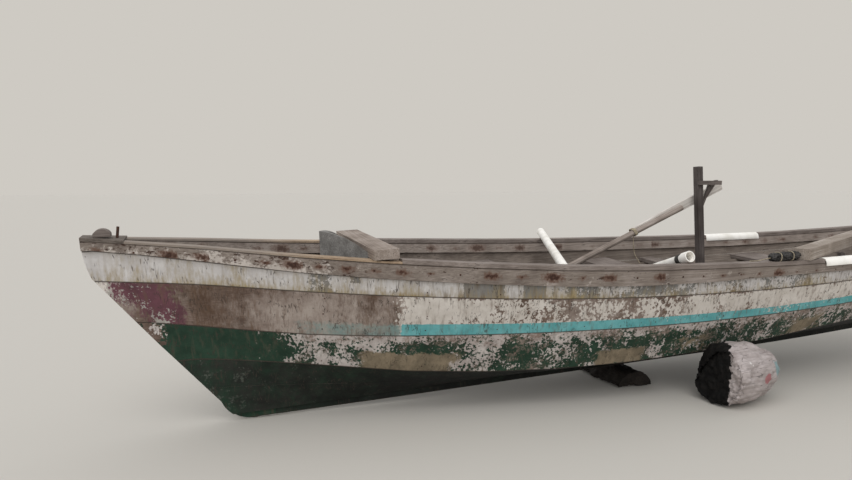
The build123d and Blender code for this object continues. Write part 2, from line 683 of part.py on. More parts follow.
# Snubbing block and iron pin on the bow block
deck_z = sheer_at(0)[1] + 2 * BOW_BLOCK_T
shoulder_z = SNUB_H * SNUB_SHOULDER
snub = make_face([
    Line((-SNUB_L / 2, 0, 0), (SNUB_L / 2, 0, 0)), Line((SNUB_L / 2, 0, 0), (SNUB_L / 2, 0, shoulder_z)),
    ThreePointArc((SNUB_L / 2, 0, shoulder_z), (0, 0, SNUB_H), (-SNUB_L / 2, 0, shoulder_z)),
    Line((-SNUB_L / 2, 0, shoulder_z), (-SNUB_L / 2, 0, 0))])
snub_body = Pos(SNUB_X, -SNUB_OUT, deck_z) * extrude(snub, amount=SNUB_W / 2, both=True)
parts["snub_block"] = settle(snub_body, (0, 0, -1), [parts["bow_block"]])
pin = Pos(PIN_X, 0, deck_z) * Rot(0, PIN_RAKE, 0) * Pos(0, 0, PIN_L / 2) * Cylinder(PIN_D / 2, PIN_L)
parts["bow_pin"] = settle(pin, (0, 0, -1), [parts["bow_block"]])

# Post on its step, standing aft of the post thwart, with arm and braces
post_place = Pos(POST_X, 0, KEEL_H + STEP_H / 2 + FIT) * Rot(0, -POST_RAKE, 0)
post_body = post_place * Pos(0, 0, POST_H / 2) * Box(POST_W, POST_W, POST_H)
parts["post"] = post_body
step = block(POST_X - STEP_L / 2, POST_X + STEP_L / 2, -STEP_W / 2, STEP_W / 2,
             KEEL_H + FIT, KEEL_H + FIT + STEP_H)
step = step & hold
socket = post_place * Pos(0, 0, POST_H / 2) * Box(POST_W + 2 * FIT, POST_W + 2 * FIT, POST_H)
parts["post_step"] = step - socket
parts["bottom_boards"] = parts["bottom_boards"] - block(
    POST_X - STEP_L / 2 - BOARD_CUT[0], POST_X + STEP_L / 2 + BOARD_CUT[1],
    -BOARD_W - BOARD_CUT[2], BOARD_W + BOARD_CUT[2], FLOOR_Z, FLOOR_Z + 2 * BOARD_T + BEYOND)
arm_z = POST_H - ARM_DROP
arm_y = -POST_W / 2 - FIT
arm = block(-POST_W / 2, POST_W / 2 + ARM_L, arm_y - ARM_T, arm_y, -ARM_W / 2, ARM_W / 2)
parts["post_arm"] = post_place * Pos(0, 0, arm_z) * Rot(0, ARM_TILT, 0) * arm
# Each brace laps the inner side of the arm, or of the brace before it, and butts on the post
braces = []
for n, reach in enumerate(BRACE_REACH):
    foot_x = POST_W / 2 + FIT
    top = (foot_x + ARM_L * reach, arm_z)
    foot = (foot_x, arm_z - BRACE_FALL)
    brace_face = make_face(Polyline(
        (foot[0], 0, foot[1] - BRACE_W), (top[0] + BRACE_W, 0, top[1]), (top[0], 0, top[1]),
        (foot[0], 0, foot[1]), close=True))
    y0 = arm_y + n * BRACE_T + (n + 1) * FIT
    brace = extrude(brace_face, amount=BRACE_T, dir=(0, 1, 0))
    braces.append(post_place * Pos(0, y0, 0) * brace)
parts["post_braces"] = together(braces)
parts["post_thwart"] = parts["post_thwart"] - socket


# Split pipe sleeves sprung over the bare gunwale where the cap is left out
def sleeve(side, x0):
    """Split pipe over the gunwale timbers, from x0 aft."""
    x1 = x0 + SLEEVE_L
    (ya, za), (yb, zb) = sheer_at(x0), sheer_at(x1)
    r_in = SLEEVE_OD / 2 - SLEEVE_WALL
    half = (RUB_T + PLANK_T + INWALE_T + 2 * FIT) / 2 + SLEEVE_CLEAR
    drop = math.sqrt(r_in**2 - half**2)
    off = -(RUB_T + FIT) + half - SLEEVE_SHIFT
    p0 = Vector(x0, side * (ya - off), za - drop + SLEEVE_LIFT)
    p1 = Vector(x1, side * (yb - off), zb - drop + SLEEVE_LIFT)
    direction = (p1 - p0).normalized()
    plane = Plane(origin=p0, x_dir=Vector(0, 1, 0), z_dir=direction)
    ring = Circle(SLEEVE_OD / 2) - Circle(r_in)
    slot = Pos(0, -SLEEVE_OD / 2 - drop + SLEEVE_LIP) * Rectangle(2 * SLEEVE_OD, SLEEVE_OD)
    upright = plane.to_local_coords(Vector(x0, side * ya, za + BEYOND)).Y > 0
    split_ring = ring - (slot if upright else Rot(0, 0, 180) * slot)
    return extrude(plane * split_ring, amount=(p1 - p0).length)


for side_name, side in SIDES.items():
    parts[f"sleeve_{side_name}"] = sleeve(side, SLEEVES[side_name])


def tube(p0, p1, outer_d, inner_d=0.0):
    """Round bar or pipe from point to point."""
    axis = p1 - p0
    plane = Plane(origin=p0, z_dir=axis.normalized())
    ring = Circle(outer_d / 2) - Circle(inner_d / 2) if inner_d else Circle(outer_d / 2)
    return extrude(plane * ring, amount=axis.length)


# Pole holder: pipe and coupling over the port gunwale
ys, zs = sheer_at(HOLDER_X)
h_rise = math.radians(HOLDER_RISE)
h_dir = Vector(0, -math.cos(h_rise), math.sin(h_rise))
cap_in = ys - PLANK_T - INWALE_T - 2 * FIT - CAP_LIP
mouth_z = zs + CAP_AFT_T + COUPLING_OD / 2 / math.cos(h_rise) + COUPLING_CLEAR
mouth = Vector(HOLDER_X, -cap_in - COUPLING_OUT, mouth_z)
holder_fall = mouth.Z - PIPE_OD / 2 * math.cos(h_rise) - thwart_top["thwart_mid"] - FIT
tail = mouth - h_dir * (holder_fall / math.sin(h_rise))
parts["holder_coupling"] = tube(mouth - h_dir * COUPLING_L, mouth, COUPLING_OD, PIPE_OD + 2 * FIT)
parts["holder_pipe"] = tube(tail, mouth - h_dir * PIPE_ENTRY, PIPE_OD, PIPE_OD - 2 * PIPE_WALL)
wrap_low, wrap_high = (mouth - h_dir * (COUPLING_L + run) for run in (WRAP_FAR, WRAP_NEAR))
parts["holder_lashing"] = tube(wrap_low, wrap_high, PIPE_OD + 2 * LASH_T + 2 * FIT, PIPE_OD + 2 * FIT)

# Pipe leaning across the boat on the starboard rail
yn, zn = sheer_at(LEAN_NEAR_X)
yf, zf = sheer_at(LEAN_FAR_X)
near_in = yn - PLANK_T - INWALE_T - 2 * FIT - LEAN_CLEAR
far = Vector(LEAN_FAR_X, yf - PLANK_T / 2, zf + CAP_AFT_T + PIPE_OD / 2 + LEAN_CLEAR)
near = Vector(LEAN_NEAR_X, -near_in + LEAN_TUCK, zn - LEAN_DROP)
lean = (far - near).normalized()
pipe = tube(near, far + lean * LEAN_PAST, PIPE_OD, PIPE_OD - 2 * PIPE_WALL)
pipe = pipe + tube(far + lean * (LEAN_PAST - PIPE_PLUG), far + lean * LEAN_PAST, PIPE_OD)
pipe = settle(pipe, (0, 0, -1), [parts["cap_mid_starboard"], parts["inwale_starboard"]])
parts["leaning_pipe"] = settle(pipe, lean * -1, [parts["inwale_port"], parts["cap_mid_port"]])

# Oar: shaft, blade lashed on its side, lashing
o_dir = Vector(math.cos(math.radians(OAR_SLOPE)), 0, math.sin(math.radians(OAR_SLOPE)))
o_y = POST_W / 2 + OAR_D / 2 + FIT
o_low = Vector(FRAME_XS[1], o_y, FLOOR_Z + 2 * OAR_HEEL)
bed = ["garboard_starboard", "bilge_plank_starboard", "stem", "floor_timbers", "ribs_starboard"]
heel_end = tube(o_low, o_low + o_dir * OAR_HEEL, OAR_D)
o_low = o_low + (settle(heel_end, o_dir * -1, [parts[n] for n in bed]).center() - heel_end.center())
o_high = o_low + o_dir * OAR_L
shaft = tube(o_low, o_high, OAR_D)
blade_mid = o_high - o_dir * BLADE_LAP + o_dir * BLADE_L / 2
blade_plane = Plane(origin=blade_mid + Vector(0, OAR_D / 2 + BLADE_T / 2 + FIT, 0), x_dir=o_dir,
                    z_dir=Vector(0, 1, 0))
parts["oar_shaft"] = shaft
half_l = BLADE_L / 2
taper_x0, taper_x1 = (run - half_l for run in BLADE_TAPER)
blade_shape = make_face(Polyline(
    (-half_l, -BLADE_NECK / 2), (taper_x0, -BLADE_NECK / 2), (taper_x1, -BLADE_W / 2),
    (half_l, -BLADE_W / 2), (half_l, BLADE_W / 2), (taper_x1, BLADE_W / 2),
    (taper_x0, BLADE_NECK / 2), (-half_l, BLADE_NECK / 2), close=True))
parts["oar_blade"] = extrude(blade_plane * blade_shape, amount=BLADE_T / 2, both=True)
lash_at = blade_mid - o_dir * (BLADE_L / 2 + LASH_PAST)
lash_plane = Plane(origin=lash_at + Vector(0, BLADE_T / 2 + FIT / 2, 0), x_dir=Vector(0, 1, 0), z_dir=o_dir)
lash_x, lash_y = OAR_D + BLADE_T + 3 * FIT, BLADE_NECK + 2 * FIT
lash_outer = RectangleRounded(lash_x + 2 * LASH_T, lash_y + 2 * LASH_T, LASH_T)
lash_inner = Rectangle(lash_x, lash_y)
parts["oar_lashing"] = extrude(lash_plane * (lash_outer - lash_inner), amount=LASH_L)

# Rubber oar pad saddled over the port cap
pad_w = RUB_T + PLANK_T + INWALE_T + 2 * CAP_LIP + PAD_LIP
(yp0, zp0), (yp1, zp1) = sheer_at(PAD_X - PAD_L / 2), sheer_at(PAD_X + PAD_L / 2)
pad_axis = Vector(PAD_L, yp0 - yp1, zp1 - zp0).normalized()
pad_start = Vector(PAD_X - PAD_L / 2, -(yp0 + RUB_T + CAP_LIP - pad_w / 2), zp0 + CAP_AFT_T + PAD_LIP)
pad_plane = Plane(origin=pad_start, x_dir=Vector(0, 1, 0), z_dir=pad_axis)
up = 1 if pad_plane.to_local_coords(pad_start + Vector(0, 0, 1)).Y > 0 else -1
pad_side = up * PAD_CROWN * PAD_SHOULDER
pad_section = make_face([
    Line((-pad_w / 2, 0), (pad_w / 2, 0)), Line((pad_w / 2, 0), (pad_w / 2, pad_side)),
    ThreePointArc((pad_w / 2, pad_side), (0, up * PAD_CROWN), (-pad_w / 2, pad_side)),
    Line((-pad_w / 2, pad_side), (-pad_w / 2, 0))])
parts["oar_pad"] = settle(extrude(pad_plane * pad_section, amount=PAD_L), (0, 0, -1),
                          [parts["cap_mid_port"]])


def cord(route):
    """Plain round cord of straight runs joined by tangent arcs."""
    pts = [Vector(*p) for p in route]
    radii = []
    for a, b, c in zip(pts, pts[1:], pts[2:]):
        half_turn = math.radians((b - a).get_angle(c - b)) / 2
        radii.append(0.45 * min((b - a).length, (c - b).length) / math.tan(half_turn))
    path = FilletPolyline(*pts, radius=radii)
    return sweep(Plane(origin=path @ 0, z_dir=path % 0) * Circle(CORD_D / 2), path=path)


# Tail of the oar's lashing hanging free, and the pad's cord lying along the cap
hang = lash_at + o_dir * LASH_L / 2 + Vector(0, BLADE_T / 2, -lash_y)
tail_cord = cord([hang, hang + Vector(2, 4, -95), hang + Vector(24, 0, -160), hang + Vector(58, -6, -205)])
parts["oar_cord"] = settle(tail_cord, (0, 0, 1), [parts["oar_lashing"]])
cap_z = zp0 + CAP_AFT_T + CORD_D / 2 + FIT
start = Vector(pad_start.X - FIT, pad_start.Y, cap_z + 5 * CORD_D)
lying_cord = cord([start, start + Vector(-55, 4, -6), start + Vector(-105, 10, -14),
                   start + Vector(-165, 6, -8)])
parts["pad_cord"] = settle(lying_cord, (0, 0, -1), [parts["cap_mid_port"]])

# Loose plank lying across both gunwales in the stern
turn = math.radians(PLANK_TURN)
plank_x = PAD_X + PAD_L / 2 + PLANK_W / 2 * math.sin(turn) + 2 * SEAM
far_x = plank_x + PLANK_LEN * math.cos(turn)
z_near, z_far = sheer_at(plank_x)[1], sheer_at(far_x)[1]
along = Vector(math.cos(turn), math.sin(turn), (z_far - z_near) / PLANK_LEN).normalized()
across = Vector(-math.sin(turn), math.cos(turn), 0)
plank_start = Vector(plank_x, PLANK_IN - sheer_at(plank_x)[0], z_near + CAP_AFT_T + PLANK_TH)
plank_plane = Plane(origin=plank_start, x_dir=along, z_dir=along.cross(across))
loose_plank = plank_plane * Pos(PLANK_LEN / 2, 0, 0) * Box(PLANK_LEN, PLANK_W, PLANK_TH)
under_plank = [parts[f"{name}_{side}"] for name in ("cap_mid", "cap_stern", "sleeve", "inwale", "rub_rail")
               for side in SIDES]
parts["stern_plank"] = settle(loose_plank, (0, 0, -1), under_plank)

# The boat is heeled and trimmed, and its forefoot stands on the ground
sit = Rot(HEEL, 0, 0)
sit = Rot(0, -TRIM, 0) * sit
low = (sit * parts["keel_band"]).bounding_box().min.Z
sit = Pos(0, 0, -low) * sit


def ground(x, y, z):
    """Point of the boat once it stands on its props."""
    return (sit * Pos(x, y, z)).position


for name in parts:
    parts[name] = sit * parts[name]

# Dark log under the keel, half bedded, and the bleached log against the port chine
keel_edge = ground(DARK_X, -KEEL_W / 2, 0)
above = block(-LENGTH, 2 * LENGTH, -LENGTH, LENGTH, 0, DEPTH)  # logs lie bedded, cut at the ground
dark = Pos(keel_edge.X, keel_edge.Y + DARK_L / 2 - DARK_OUT, keel_edge.Z - DARK_R - KEEL_H) * (
    Rot(90, 0, 0) * Cylinder(DARK_R, DARK_L))
parts["dark_log"] = settle(dark, (0, 0, 1), [parts["keel"], parts["keel_band"]]) & above
white_outline = make_face([
    Line((0, 0), (0, WHITE_R)), ThreePointArc((0, WHITE_R), (WHITE_L * 0.45, WHITE_R * 0.99),
                                              (WHITE_L * 0.8, WHITE_R * 0.8)),
    ThreePointArc((WHITE_L * 0.8, WHITE_R * 0.8), (WHITE_L * 0.95, WHITE_R * 0.58),
                  (WHITE_L, WHITE_R * 0.3)),
    Line((WHITE_L, WHITE_R * 0.3), (WHITE_L, 0)), Line((WHITE_L, 0), (0, 0))])
white = revolve(white_outline, Axis.X)
white = Rot(0, 0, WHITE_TURN) * Pos(-WHITE_L / 2, 0, 0) * white
white = Pos(ground(WHITE_X, 0, 0).X, -2 * HALF_BEAM, WHITE_R - WHITE_BEDDED) * white
parts["white_log"] = settle(white, (0, 1, 0), [
    parts[n] for n in ("strake_lower_port", "bilge_plank_port", "garboard_port")]) & above

# Origin on the ground under the middle of the whole
whole = together(parts.values()).bounding_box()
centre = Location((-(whole.min.X + whole.max.X) / 2, -(whole.min.Y + whole.max.Y) / 2, 0))
for name, shape in parts.items():
    shape = centre * shape
    solids = shape.solids()
    result = solids[0] if len(solids) == 1 else Compound(children=list(solids))
    export_step(result, f"parts/{name}.step")
    print(name, len(solids), round(sum(s.volume for s in solids) / 1e6, 2), "litres")
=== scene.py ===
"""Weathered wooden beach boat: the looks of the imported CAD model.

The boat stands heeled and trimmed on its props. Every place is in metres in the row frame. Paint and nail
rows are laid out in the boat's own frame, with x from the stem head aft and z up from the keel.
"""

import logging
import math
from dataclasses import dataclass, field
from enum import Enum
from typing import Any

import bmesh
import bpy
from mathutils import Euler, Matrix, Vector, noise


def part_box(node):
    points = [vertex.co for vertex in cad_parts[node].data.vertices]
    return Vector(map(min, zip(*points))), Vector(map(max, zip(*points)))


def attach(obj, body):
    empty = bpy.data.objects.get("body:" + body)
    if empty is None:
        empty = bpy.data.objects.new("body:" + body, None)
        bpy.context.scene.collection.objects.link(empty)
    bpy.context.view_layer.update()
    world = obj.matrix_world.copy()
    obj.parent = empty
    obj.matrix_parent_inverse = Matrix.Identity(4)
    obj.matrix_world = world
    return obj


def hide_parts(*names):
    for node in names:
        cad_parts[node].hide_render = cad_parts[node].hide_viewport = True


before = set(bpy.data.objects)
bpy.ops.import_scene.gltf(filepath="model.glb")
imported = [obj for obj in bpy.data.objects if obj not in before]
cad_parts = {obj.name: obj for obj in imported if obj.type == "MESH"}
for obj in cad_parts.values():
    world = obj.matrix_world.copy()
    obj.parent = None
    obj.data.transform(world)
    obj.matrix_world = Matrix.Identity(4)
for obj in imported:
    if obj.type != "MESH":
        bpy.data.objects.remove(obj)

LOG = logging.getLogger("boat")
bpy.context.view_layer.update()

Point = tuple[float, float, float]
Profile = tuple[tuple[float, float], ...]
Tree, Node, Piece = bpy.types.NodeTree, bpy.types.Node, bpy.types.Object

# Kinds of node that most materials use, and their settings
MATH, RANGE, MIX, NOISE = "ShaderNodeMath", "ShaderNodeMapRange", "ShaderNodeMix", "ShaderNodeTexNoise"
VECTOR, CURVE, RAMP = "ShaderNodeVectorMath", "ShaderNodeFloatCurve", "ShaderNodeValToRGB"
TIMES, OVER, PLUS, LESS = ({"operation": name} for name in ("MULTIPLY", "DIVIDE", "ADD", "SUBTRACT"))
TIMES_PLUS, SIZE_OF = {"operation": "MULTIPLY_ADD"}, {"operation": "ABSOLUTE"}
COLOURS, PATTERNS = {"data_type": "RGBA"}, {"noise_dimensions": "4D"}
# Share of each finer layer of a noise, for wood and for flaking paint
ROUGH = {"Roughness": 0.62}
# Nearly all values of such a noise lie between these
NOISE_SPREAD = (0.36, 0.64)
# Values of it at which a board goes from its dark to its middle and its pale tone
TONE_STOPS = (0.33, 0.5, 0.68)
# How far apart the patterns of two coats lie, and those of a coat's chips and its bald patches
COATS_APART, PATCHES_APART = 7.3, 40.0
# What lies in an open crack of the wood, and in the seams and cracks of the paint; the second tone also
# draws the painted shade under a rail's lower edge
CRACK_TONE, SEAM_AND_SHADE_TONE = "#2e2722", "#3b322b"

BODY = "root"
SEED = 11
# The boat's own frame in the row frame: where its zero lies, and how it heels to port and lifts aft
BOAT_ZERO: Point = (-3.5300, 0.0831, -0.0316)
HEEL = math.radians(2.5)
TRIM = math.radians(2.5)
BOAT = Matrix.Translation(BOAT_ZERO) @ Euler((HEEL, -TRIM, 0.0)).to_matrix().to_4x4()
BOAT_LENGTH = 7.15
# Over everything that is painted, so that each height is a share of it
BOAT_HEIGHT = 1.2
# Frames, as shares of the length
STATIONS = (0.182, 0.266, 0.327, 0.406, 0.476, 0.55, 0.621, 0.683, 0.766, 0.853)
# How far from the middle line the search for a nail's place starts, outside the planking
OUTBOARD = 1.3
# Rail nails stray from even steps by up to this share of a step, and by a sine of this turn a nail
NAIL_STRAY = 0.32
NAIL_TURN = 12.99

# Heights of the plank seams from the sheer down, and of the lower edge of the rubbing strake, which is
# deepest amidships, in the boat's own frame at these places along it
SEAM_PLACES = (0.06, 0.3, 0.6, 0.9, 1.2, 1.5, 1.8, 2.4, 3.0, 3.6, 4.2, 4.8, 5.4, 6.0, 6.6, 7.13)
SHEER, UPPER_SEAM, LOWER_SEAM, RUB_FOOT = (
    tuple(zip(SEAM_PLACES, heights))
    for heights in (
        (
            1.176, 1.150, 1.116, 1.077, 1.039, 1.004, 0.972, 0.914, 0.863, 0.825, 0.794, 0.767,
            0.753, 0.752, 0.763, 0.777,
        ),
        (
            0.944, 0.924, 0.898, 0.864, 0.830, 0.800, 0.772, 0.721, 0.678, 0.646, 0.624, 0.612,
            0.614, 0.626, 0.643, 0.659,
        ),
        (
            0.690, 0.681, 0.638, 0.595, 0.557, 0.533, 0.515, 0.486, 0.463, 0.444, 0.432, 0.429,
            0.436, 0.450, 0.472, 0.494,
        ),
        (
            1.119, 1.087, 1.038, 0.989, 0.944, 0.907, 0.873, 0.812, 0.760, 0.730, 0.717, 0.698,
            0.686, 0.687, 0.700, 0.715,
        ),
    )
)
CHINE: Profile = (
    (0.06, 0.424), (0.45, 0.424), (0.6, 0.422), (0.9, 0.387), (1.2, 0.347), (1.5, 0.304), (1.8, 0.262),
    (2.4, 0.212), (3.0, 0.192), (3.6, 0.195), (4.2, 0.213), (4.8, 0.243), (5.4, 0.272), (6.0, 0.301),
    (6.6, 0.326), (7.13, 0.349),
)
KEEL_LINE: Profile = ((0.0, 0.0), (BOAT_LENGTH, 0.0))
FULL_HEIGHT: Profile = ((0.0, BOAT_HEIGHT), (BOAT_LENGTH, BOAT_HEIGHT))
EVERYWHERE: Profile = ((0.0, 1.0), (1.0, 1.0))


class Side(Enum):
    """Sides of the boat, with the sign of y on each."""

    PORT = -1
    STARBOARD = 1

    @property
    def label(self) -> str:
        """Name of the side as the CAD nodes have it."""
        return self.name.lower()


def linear(code: str) -> tuple[float, float, float, float]:
    """Turns an sRGB hex colour to linear RGBA.

    Args:
        code: Colour such as "#7a6f69".

    Returns:
        Linear red, green, blue and an alpha of 1.
    """
    shares = [int(code[k : k + 2], 16) / 255 for k in (1, 3, 5)]
    return (*(s / 12.92 if s <= 0.04045 else ((s + 0.055) / 1.055) ** 2.4 for s in shares), 1.0)


def in_row(x: float, y: float, z: float) -> Vector:
    """Point of the boat's own frame, in the row frame."""
    return BOAT @ Vector((x, y, z))


def nail_place(number: int, spacing: float) -> float:
    """Place of a rail nail: even steps, each off by up to a third of a step, as driven by eye."""
    return (number + 0.5 + NAIL_STRAY * math.sin(NAIL_TURN * number)) * spacing


def level(line: Profile, x: float) -> float:
    """Height of a seam at one place along the boat.

    Args:
        line: The seam's (x, z) pairs.
        x: Distance from the stem head.

    Returns:
        Height above the keel, in metres.
    """
    if x <= line[0][0]:
        return line[0][1]
    for (x0, z0), (x1, z1) in zip(line, line[1:]):
        if x <= x1:
            return z0 + (z1 - z0) * (x - x0) / (x1 - x0)
    return line[-1][1]


def add(
    tree: Tree,
    kind: str,
    settings: dict[str, Any] | None = None,
    inputs: dict[int | str, Any] | None = None,
    profile: tuple | None = None,
) -> Node:
    """Adds one node with its settings and links.

    Args:
        tree: Material or geometry tree.
        kind: Blender's name of the node type.
        settings: Values of the node's own properties.
        inputs: For each input, a value, a socket, or a node whose first live output is linked.
        profile: Points of a curve, or stops of a colour ramp with hex colours.

    Returns:
        The new node.
    """
    node = tree.nodes.new(kind)
    for key, value in (settings or {}).items():
        setattr(node, key, value)
    for key, value in (inputs or {}).items():
        if isinstance(value, Node):
            value = next(out for out in value.outputs if out.enabled)
        if isinstance(value, bpy.types.NodeSocket):
            tree.links.new(value, node.inputs[key])
        else:
            node.inputs[key].default_value = value
    if profile and hasattr(node, "color_ramp"):
        stops = node.color_ramp.elements
        stops[0].position, stops[1].position = profile[0][0], profile[-1][0]
        for place, _ in profile[1:-1]:
            stops.new(place)
        for stop, (_, code) in zip(stops, profile):
            stop.color = linear(code)
    elif profile:
        points = node.mapping.curves[0].points
        points[0].location, points[1].location = (0.0, profile[0][1]), (1.0, profile[-1][1])
        for place, value in profile:
            if 0.0 < place < 1.0:
                points.new(place, value)
        for point in points:
            point.handle_type = "VECTOR"
        node.mapping.use_clip = False
        node.mapping.update()
    return node


def shares(line: Profile, top: float) -> Profile:
    """A line's points as shares of the boat's length and of a greatest value."""
    return tuple((x / BOAT_LENGTH, value / top) for x, value in line)


def share_aft(tree: Tree, axes: Node) -> Node:
    """Node of a place's distance from the stem head, as a share of the boat's length."""
    return add(tree, MATH, OVER, {0: axes.outputs["X"], 1: BOAT_LENGTH})


def height_of(tree: Tree, share: Node, line: Profile) -> Node:
    """Height of a seam along the boat, inside a material.

    Args:
        tree: The material's tree.
        share: Node of the share of the boat's length.
        line: The seam's (x, z) pairs.

    Returns:
        Node of the height above the keel, in metres.
    """
    curve = add(tree, CURVE, {}, {"Value": share}, shares(line, BOAT_HEIGHT))
    return add(tree, MATH, TIMES, {0: curve, 1: BOAT_HEIGHT})


@dataclass(frozen=True)
class Creases:
    """Thin dark lines such as drying cracks: they run where a noise crosses its middle value.

    pattern picks the noise, width is in its values, and depth is how dark the middle of a line is.
    """

    pattern: float
    scale: float
    detail: float
    width: float
    depth: float

    def mask(self, tree: Tree, drawn: Node) -> Node:
        """Mask of the lines.

        Args:
            tree: The material's tree.
            drawn: Node of the coordinates, drawn out along the lines.

        Returns:
            Node that gives the depth on a line, and 0 off it.
        """
        pattern = {"Vector": drawn, "W": self.pattern, "Scale": self.scale, "Detail": self.detail}
        split = add(tree, NOISE, PATTERNS, pattern)
        ridge = add(tree, MATH, LESS, {0: split, 1: 0.5})
        ridge = add(tree, MATH, SIZE_OF, {0: ridge})
        return add(tree, RANGE, {}, {0: ridge, 1: 0.0, 2: self.width, 3: self.depth, 4: 0.0})


DRYING_CRACKS = Creases(pattern=4.0, scale=0.4, detail=1.0, width=0.013, depth=1.0)
PAINT_CRACKS = Creases(pattern=9.0, scale=0.9, detail=2.0, width=0.03, depth=0.9)


@dataclass(frozen=True)
class Timber:
    """Softwood, sawn, bare and greyed by sun and salt: silver ridges, darker open grain and no sheen.

    The grain of such a board is 2 to 4 mm wide, which is under a pixel here, so it is drawn coarser. tones
    are a pale, a middle and a dark one. fade is for a board that is greyer forward: up to the first place
    along the boat it has mostly the tone given, and from the second on its own.
    """

    name: str
    tones: tuple[str, str, str]
    axis: Point | None = None
    grain_mm: float = 8.0
    length_mm: float = 700.0
    blotch_mm: float = 160.0
    cracks: float = 0.7
    relief_mm: float = 0.9
    roughness: float = 0.86
    specular: float = 0.28
    fade: tuple[float, float, str] | None = None

    def place(self, tree: Tree) -> Node:
        """Coordinates in metres with x along the grain.

        Args:
            tree: The material's tree.

        Returns:
            The node that gives them: the boat's own frame, or one turned to the piece's axis.
        """
        turn, zero = (HEEL, -TRIM, 0.0), BOAT_ZERO
        if self.axis:
            turn, zero = tuple(Vector(self.axis).to_track_quat("X", "Z").to_euler()), (0.0, 0.0, 0.0)
        where = add(tree, "ShaderNodeTexCoord").outputs["Object"]
        moved = {"Vector": where, "Location": zero, "Rotation": turn}
        return add(tree, "ShaderNodeMapping", {"vector_type": "TEXTURE"}, moved)

    def grain(self, tree: Tree, place: Node) -> tuple[Node, Node]:
        """Streaks, blotches and drying cracks of a bare board.

        Args:
            tree: The material's tree.
            place: Coordinates with x along the grain.

        Returns:
            The nodes that give its colour and its height from 0 to 1.
        """
        across, along = 1000 / self.grain_mm, 1000 / self.length_mm
        drawn = add(tree, VECTOR, TIMES, {0: place, 1: (along, across, across)})
        streak = add(tree, NOISE, {}, {"Vector": drawn, "Scale": 1.0, "Detail": 4.0, **ROUGH})
        blotch = add(tree, NOISE, {}, {"Vector": place, "Scale": 1000 / self.blotch_mm, "Detail": 5.0})
        mixed = add(tree, MIX, {}, {0: 0.5, 2: streak, 3: blotch})
        colour = add(tree, RAMP, {}, {"Fac": mixed}, tuple(zip(TONE_STOPS, reversed(self.tones))))
        crack = DRYING_CRACKS.mask(tree, drawn)
        where = add(tree, RANGE, {}, {0: blotch, 1: 0.48, 2: 0.58, 3: 0.0, 4: self.cracks})
        crack = add(tree, MATH, TIMES, {0: crack, 1: where})
        colour = add(tree, MIX, COLOURS, {0: crack, 6: colour, 7: linear(CRACK_TONE)})
        height = add(tree, MATH, LESS, {0: streak, 1: crack})
        return colour, height

    def finish(self, tree: Tree, colour: Node, height: Node, roughness: float) -> None:
        """Adds the surface of a board.

        Args:
            tree: The material's tree.
            colour: Node of the base colour.
            height: Node of the height from 0 to 1.
            roughness: Roughness of the board or of the paint on it.
        """
        look = {"Base Color": colour, "Roughness": roughness, "Specular IOR Level": self.specular}
        surfaced(tree, look, height, self.relief_mm, 0.9)

    def build(self) -> bpy.types.Material:
        """Makes the material: the bare board, and on it what weather and use have left.

        Returns:
            The material.
        """
        tree = blank(self.name)
        place = self.place(tree)
        colour, height = self.grain(tree, place)
        self.finish(tree, self.weathered(tree, place, colour), height, self.roughness)
        return bpy.data.materials[self.name]

    def weathered(self, tree: Tree, place: Node, colour: Node) -> Node:
        """Lays on what weather has left: here the grey of a board that is greyer forward.

        Args:
            tree: The material's tree.
            place: Node of the place in metres.
            colour: Node of the bare board's colour.

        Returns:
            Node of the new colour.
        """
        if not self.fade:
            return colour
        start, end, tone = self.fade
        axes = add(tree, "ShaderNodeSeparateXYZ", {}, {0: place})
        left = add(tree, RANGE, {}, {0: axes.outputs["X"], 1: start, 2: end, 3: 0.75, 4: 0.0})
        return add(tree, MIX, COLOURS, {0: left, 6: colour, 7: linear(tone)})


def blank(name: str) -> Tree:
    """Starts a material with an empty tree.

    Args:
        name: Name of the material.

    Returns:
        Its node tree.
    """
    material = bpy.data.materials.new(name)
    material.use_nodes = True
    material.node_tree.nodes.clear()
    return material.node_tree


def surfaced(tree: Tree, look: dict[str, Any], height: Node, relief_mm: float, strength: float) -> None:
    """Ends a material with its surface, and the height as bump.

    Args:
        tree: The material's tree.
        look: Inputs of the surface shader.
        height: Node of the height from 0 to 1.
        relief_mm: What a height of 1 stands for.
        strength: Share of the bump that shows.
    """
    sizes = {"Height": height, "Distance": relief_mm / 1000, "Strength": strength}
    bump = add(tree, "ShaderNodeBump", {}, sizes)
    shader = add(tree, "ShaderNodeBsdfPrincipled", {}, {**look, "Normal": bump})
    add(tree, "ShaderNodeOutputMaterial", {}, {"Surface": shader})


@dataclass(frozen=True)
class Spot:
    """A place where a coat holds on or has gone, by its centre, its half sizes and what it adds.

    x is in metres from the stem head, up a share of the plank's height, and soft the share of its half
    sizes over which it fades.
    """

    x: float
    up: float
    half_x: float
    half_up: float
    adds: float
    soft: float = 0.3


@dataclass(frozen=True)
class Coat:
    """One coat of old oil paint, brushed on: where it still holds, and its two tones.

    along runs over the boat's length in metres and up over the plank's height from 0 to 1. Such paint
    goes in chips of 5 to 30 mm, gathered in bald patches of 50 to 200 mm. tall is how much higher than
    wide its chips are, more than 1 for what has run down the plank.
    """

    tones: tuple[str, str]
    along: Profile
    up: Profile = EVERYWHERE
    flake_mm: float = 14.0
    patch_mm: float = 110.0
    fine: float = 0.5
    edge: float = 0.04
    tall: float = 1.0
    spots: tuple[Spot, ...] = ()


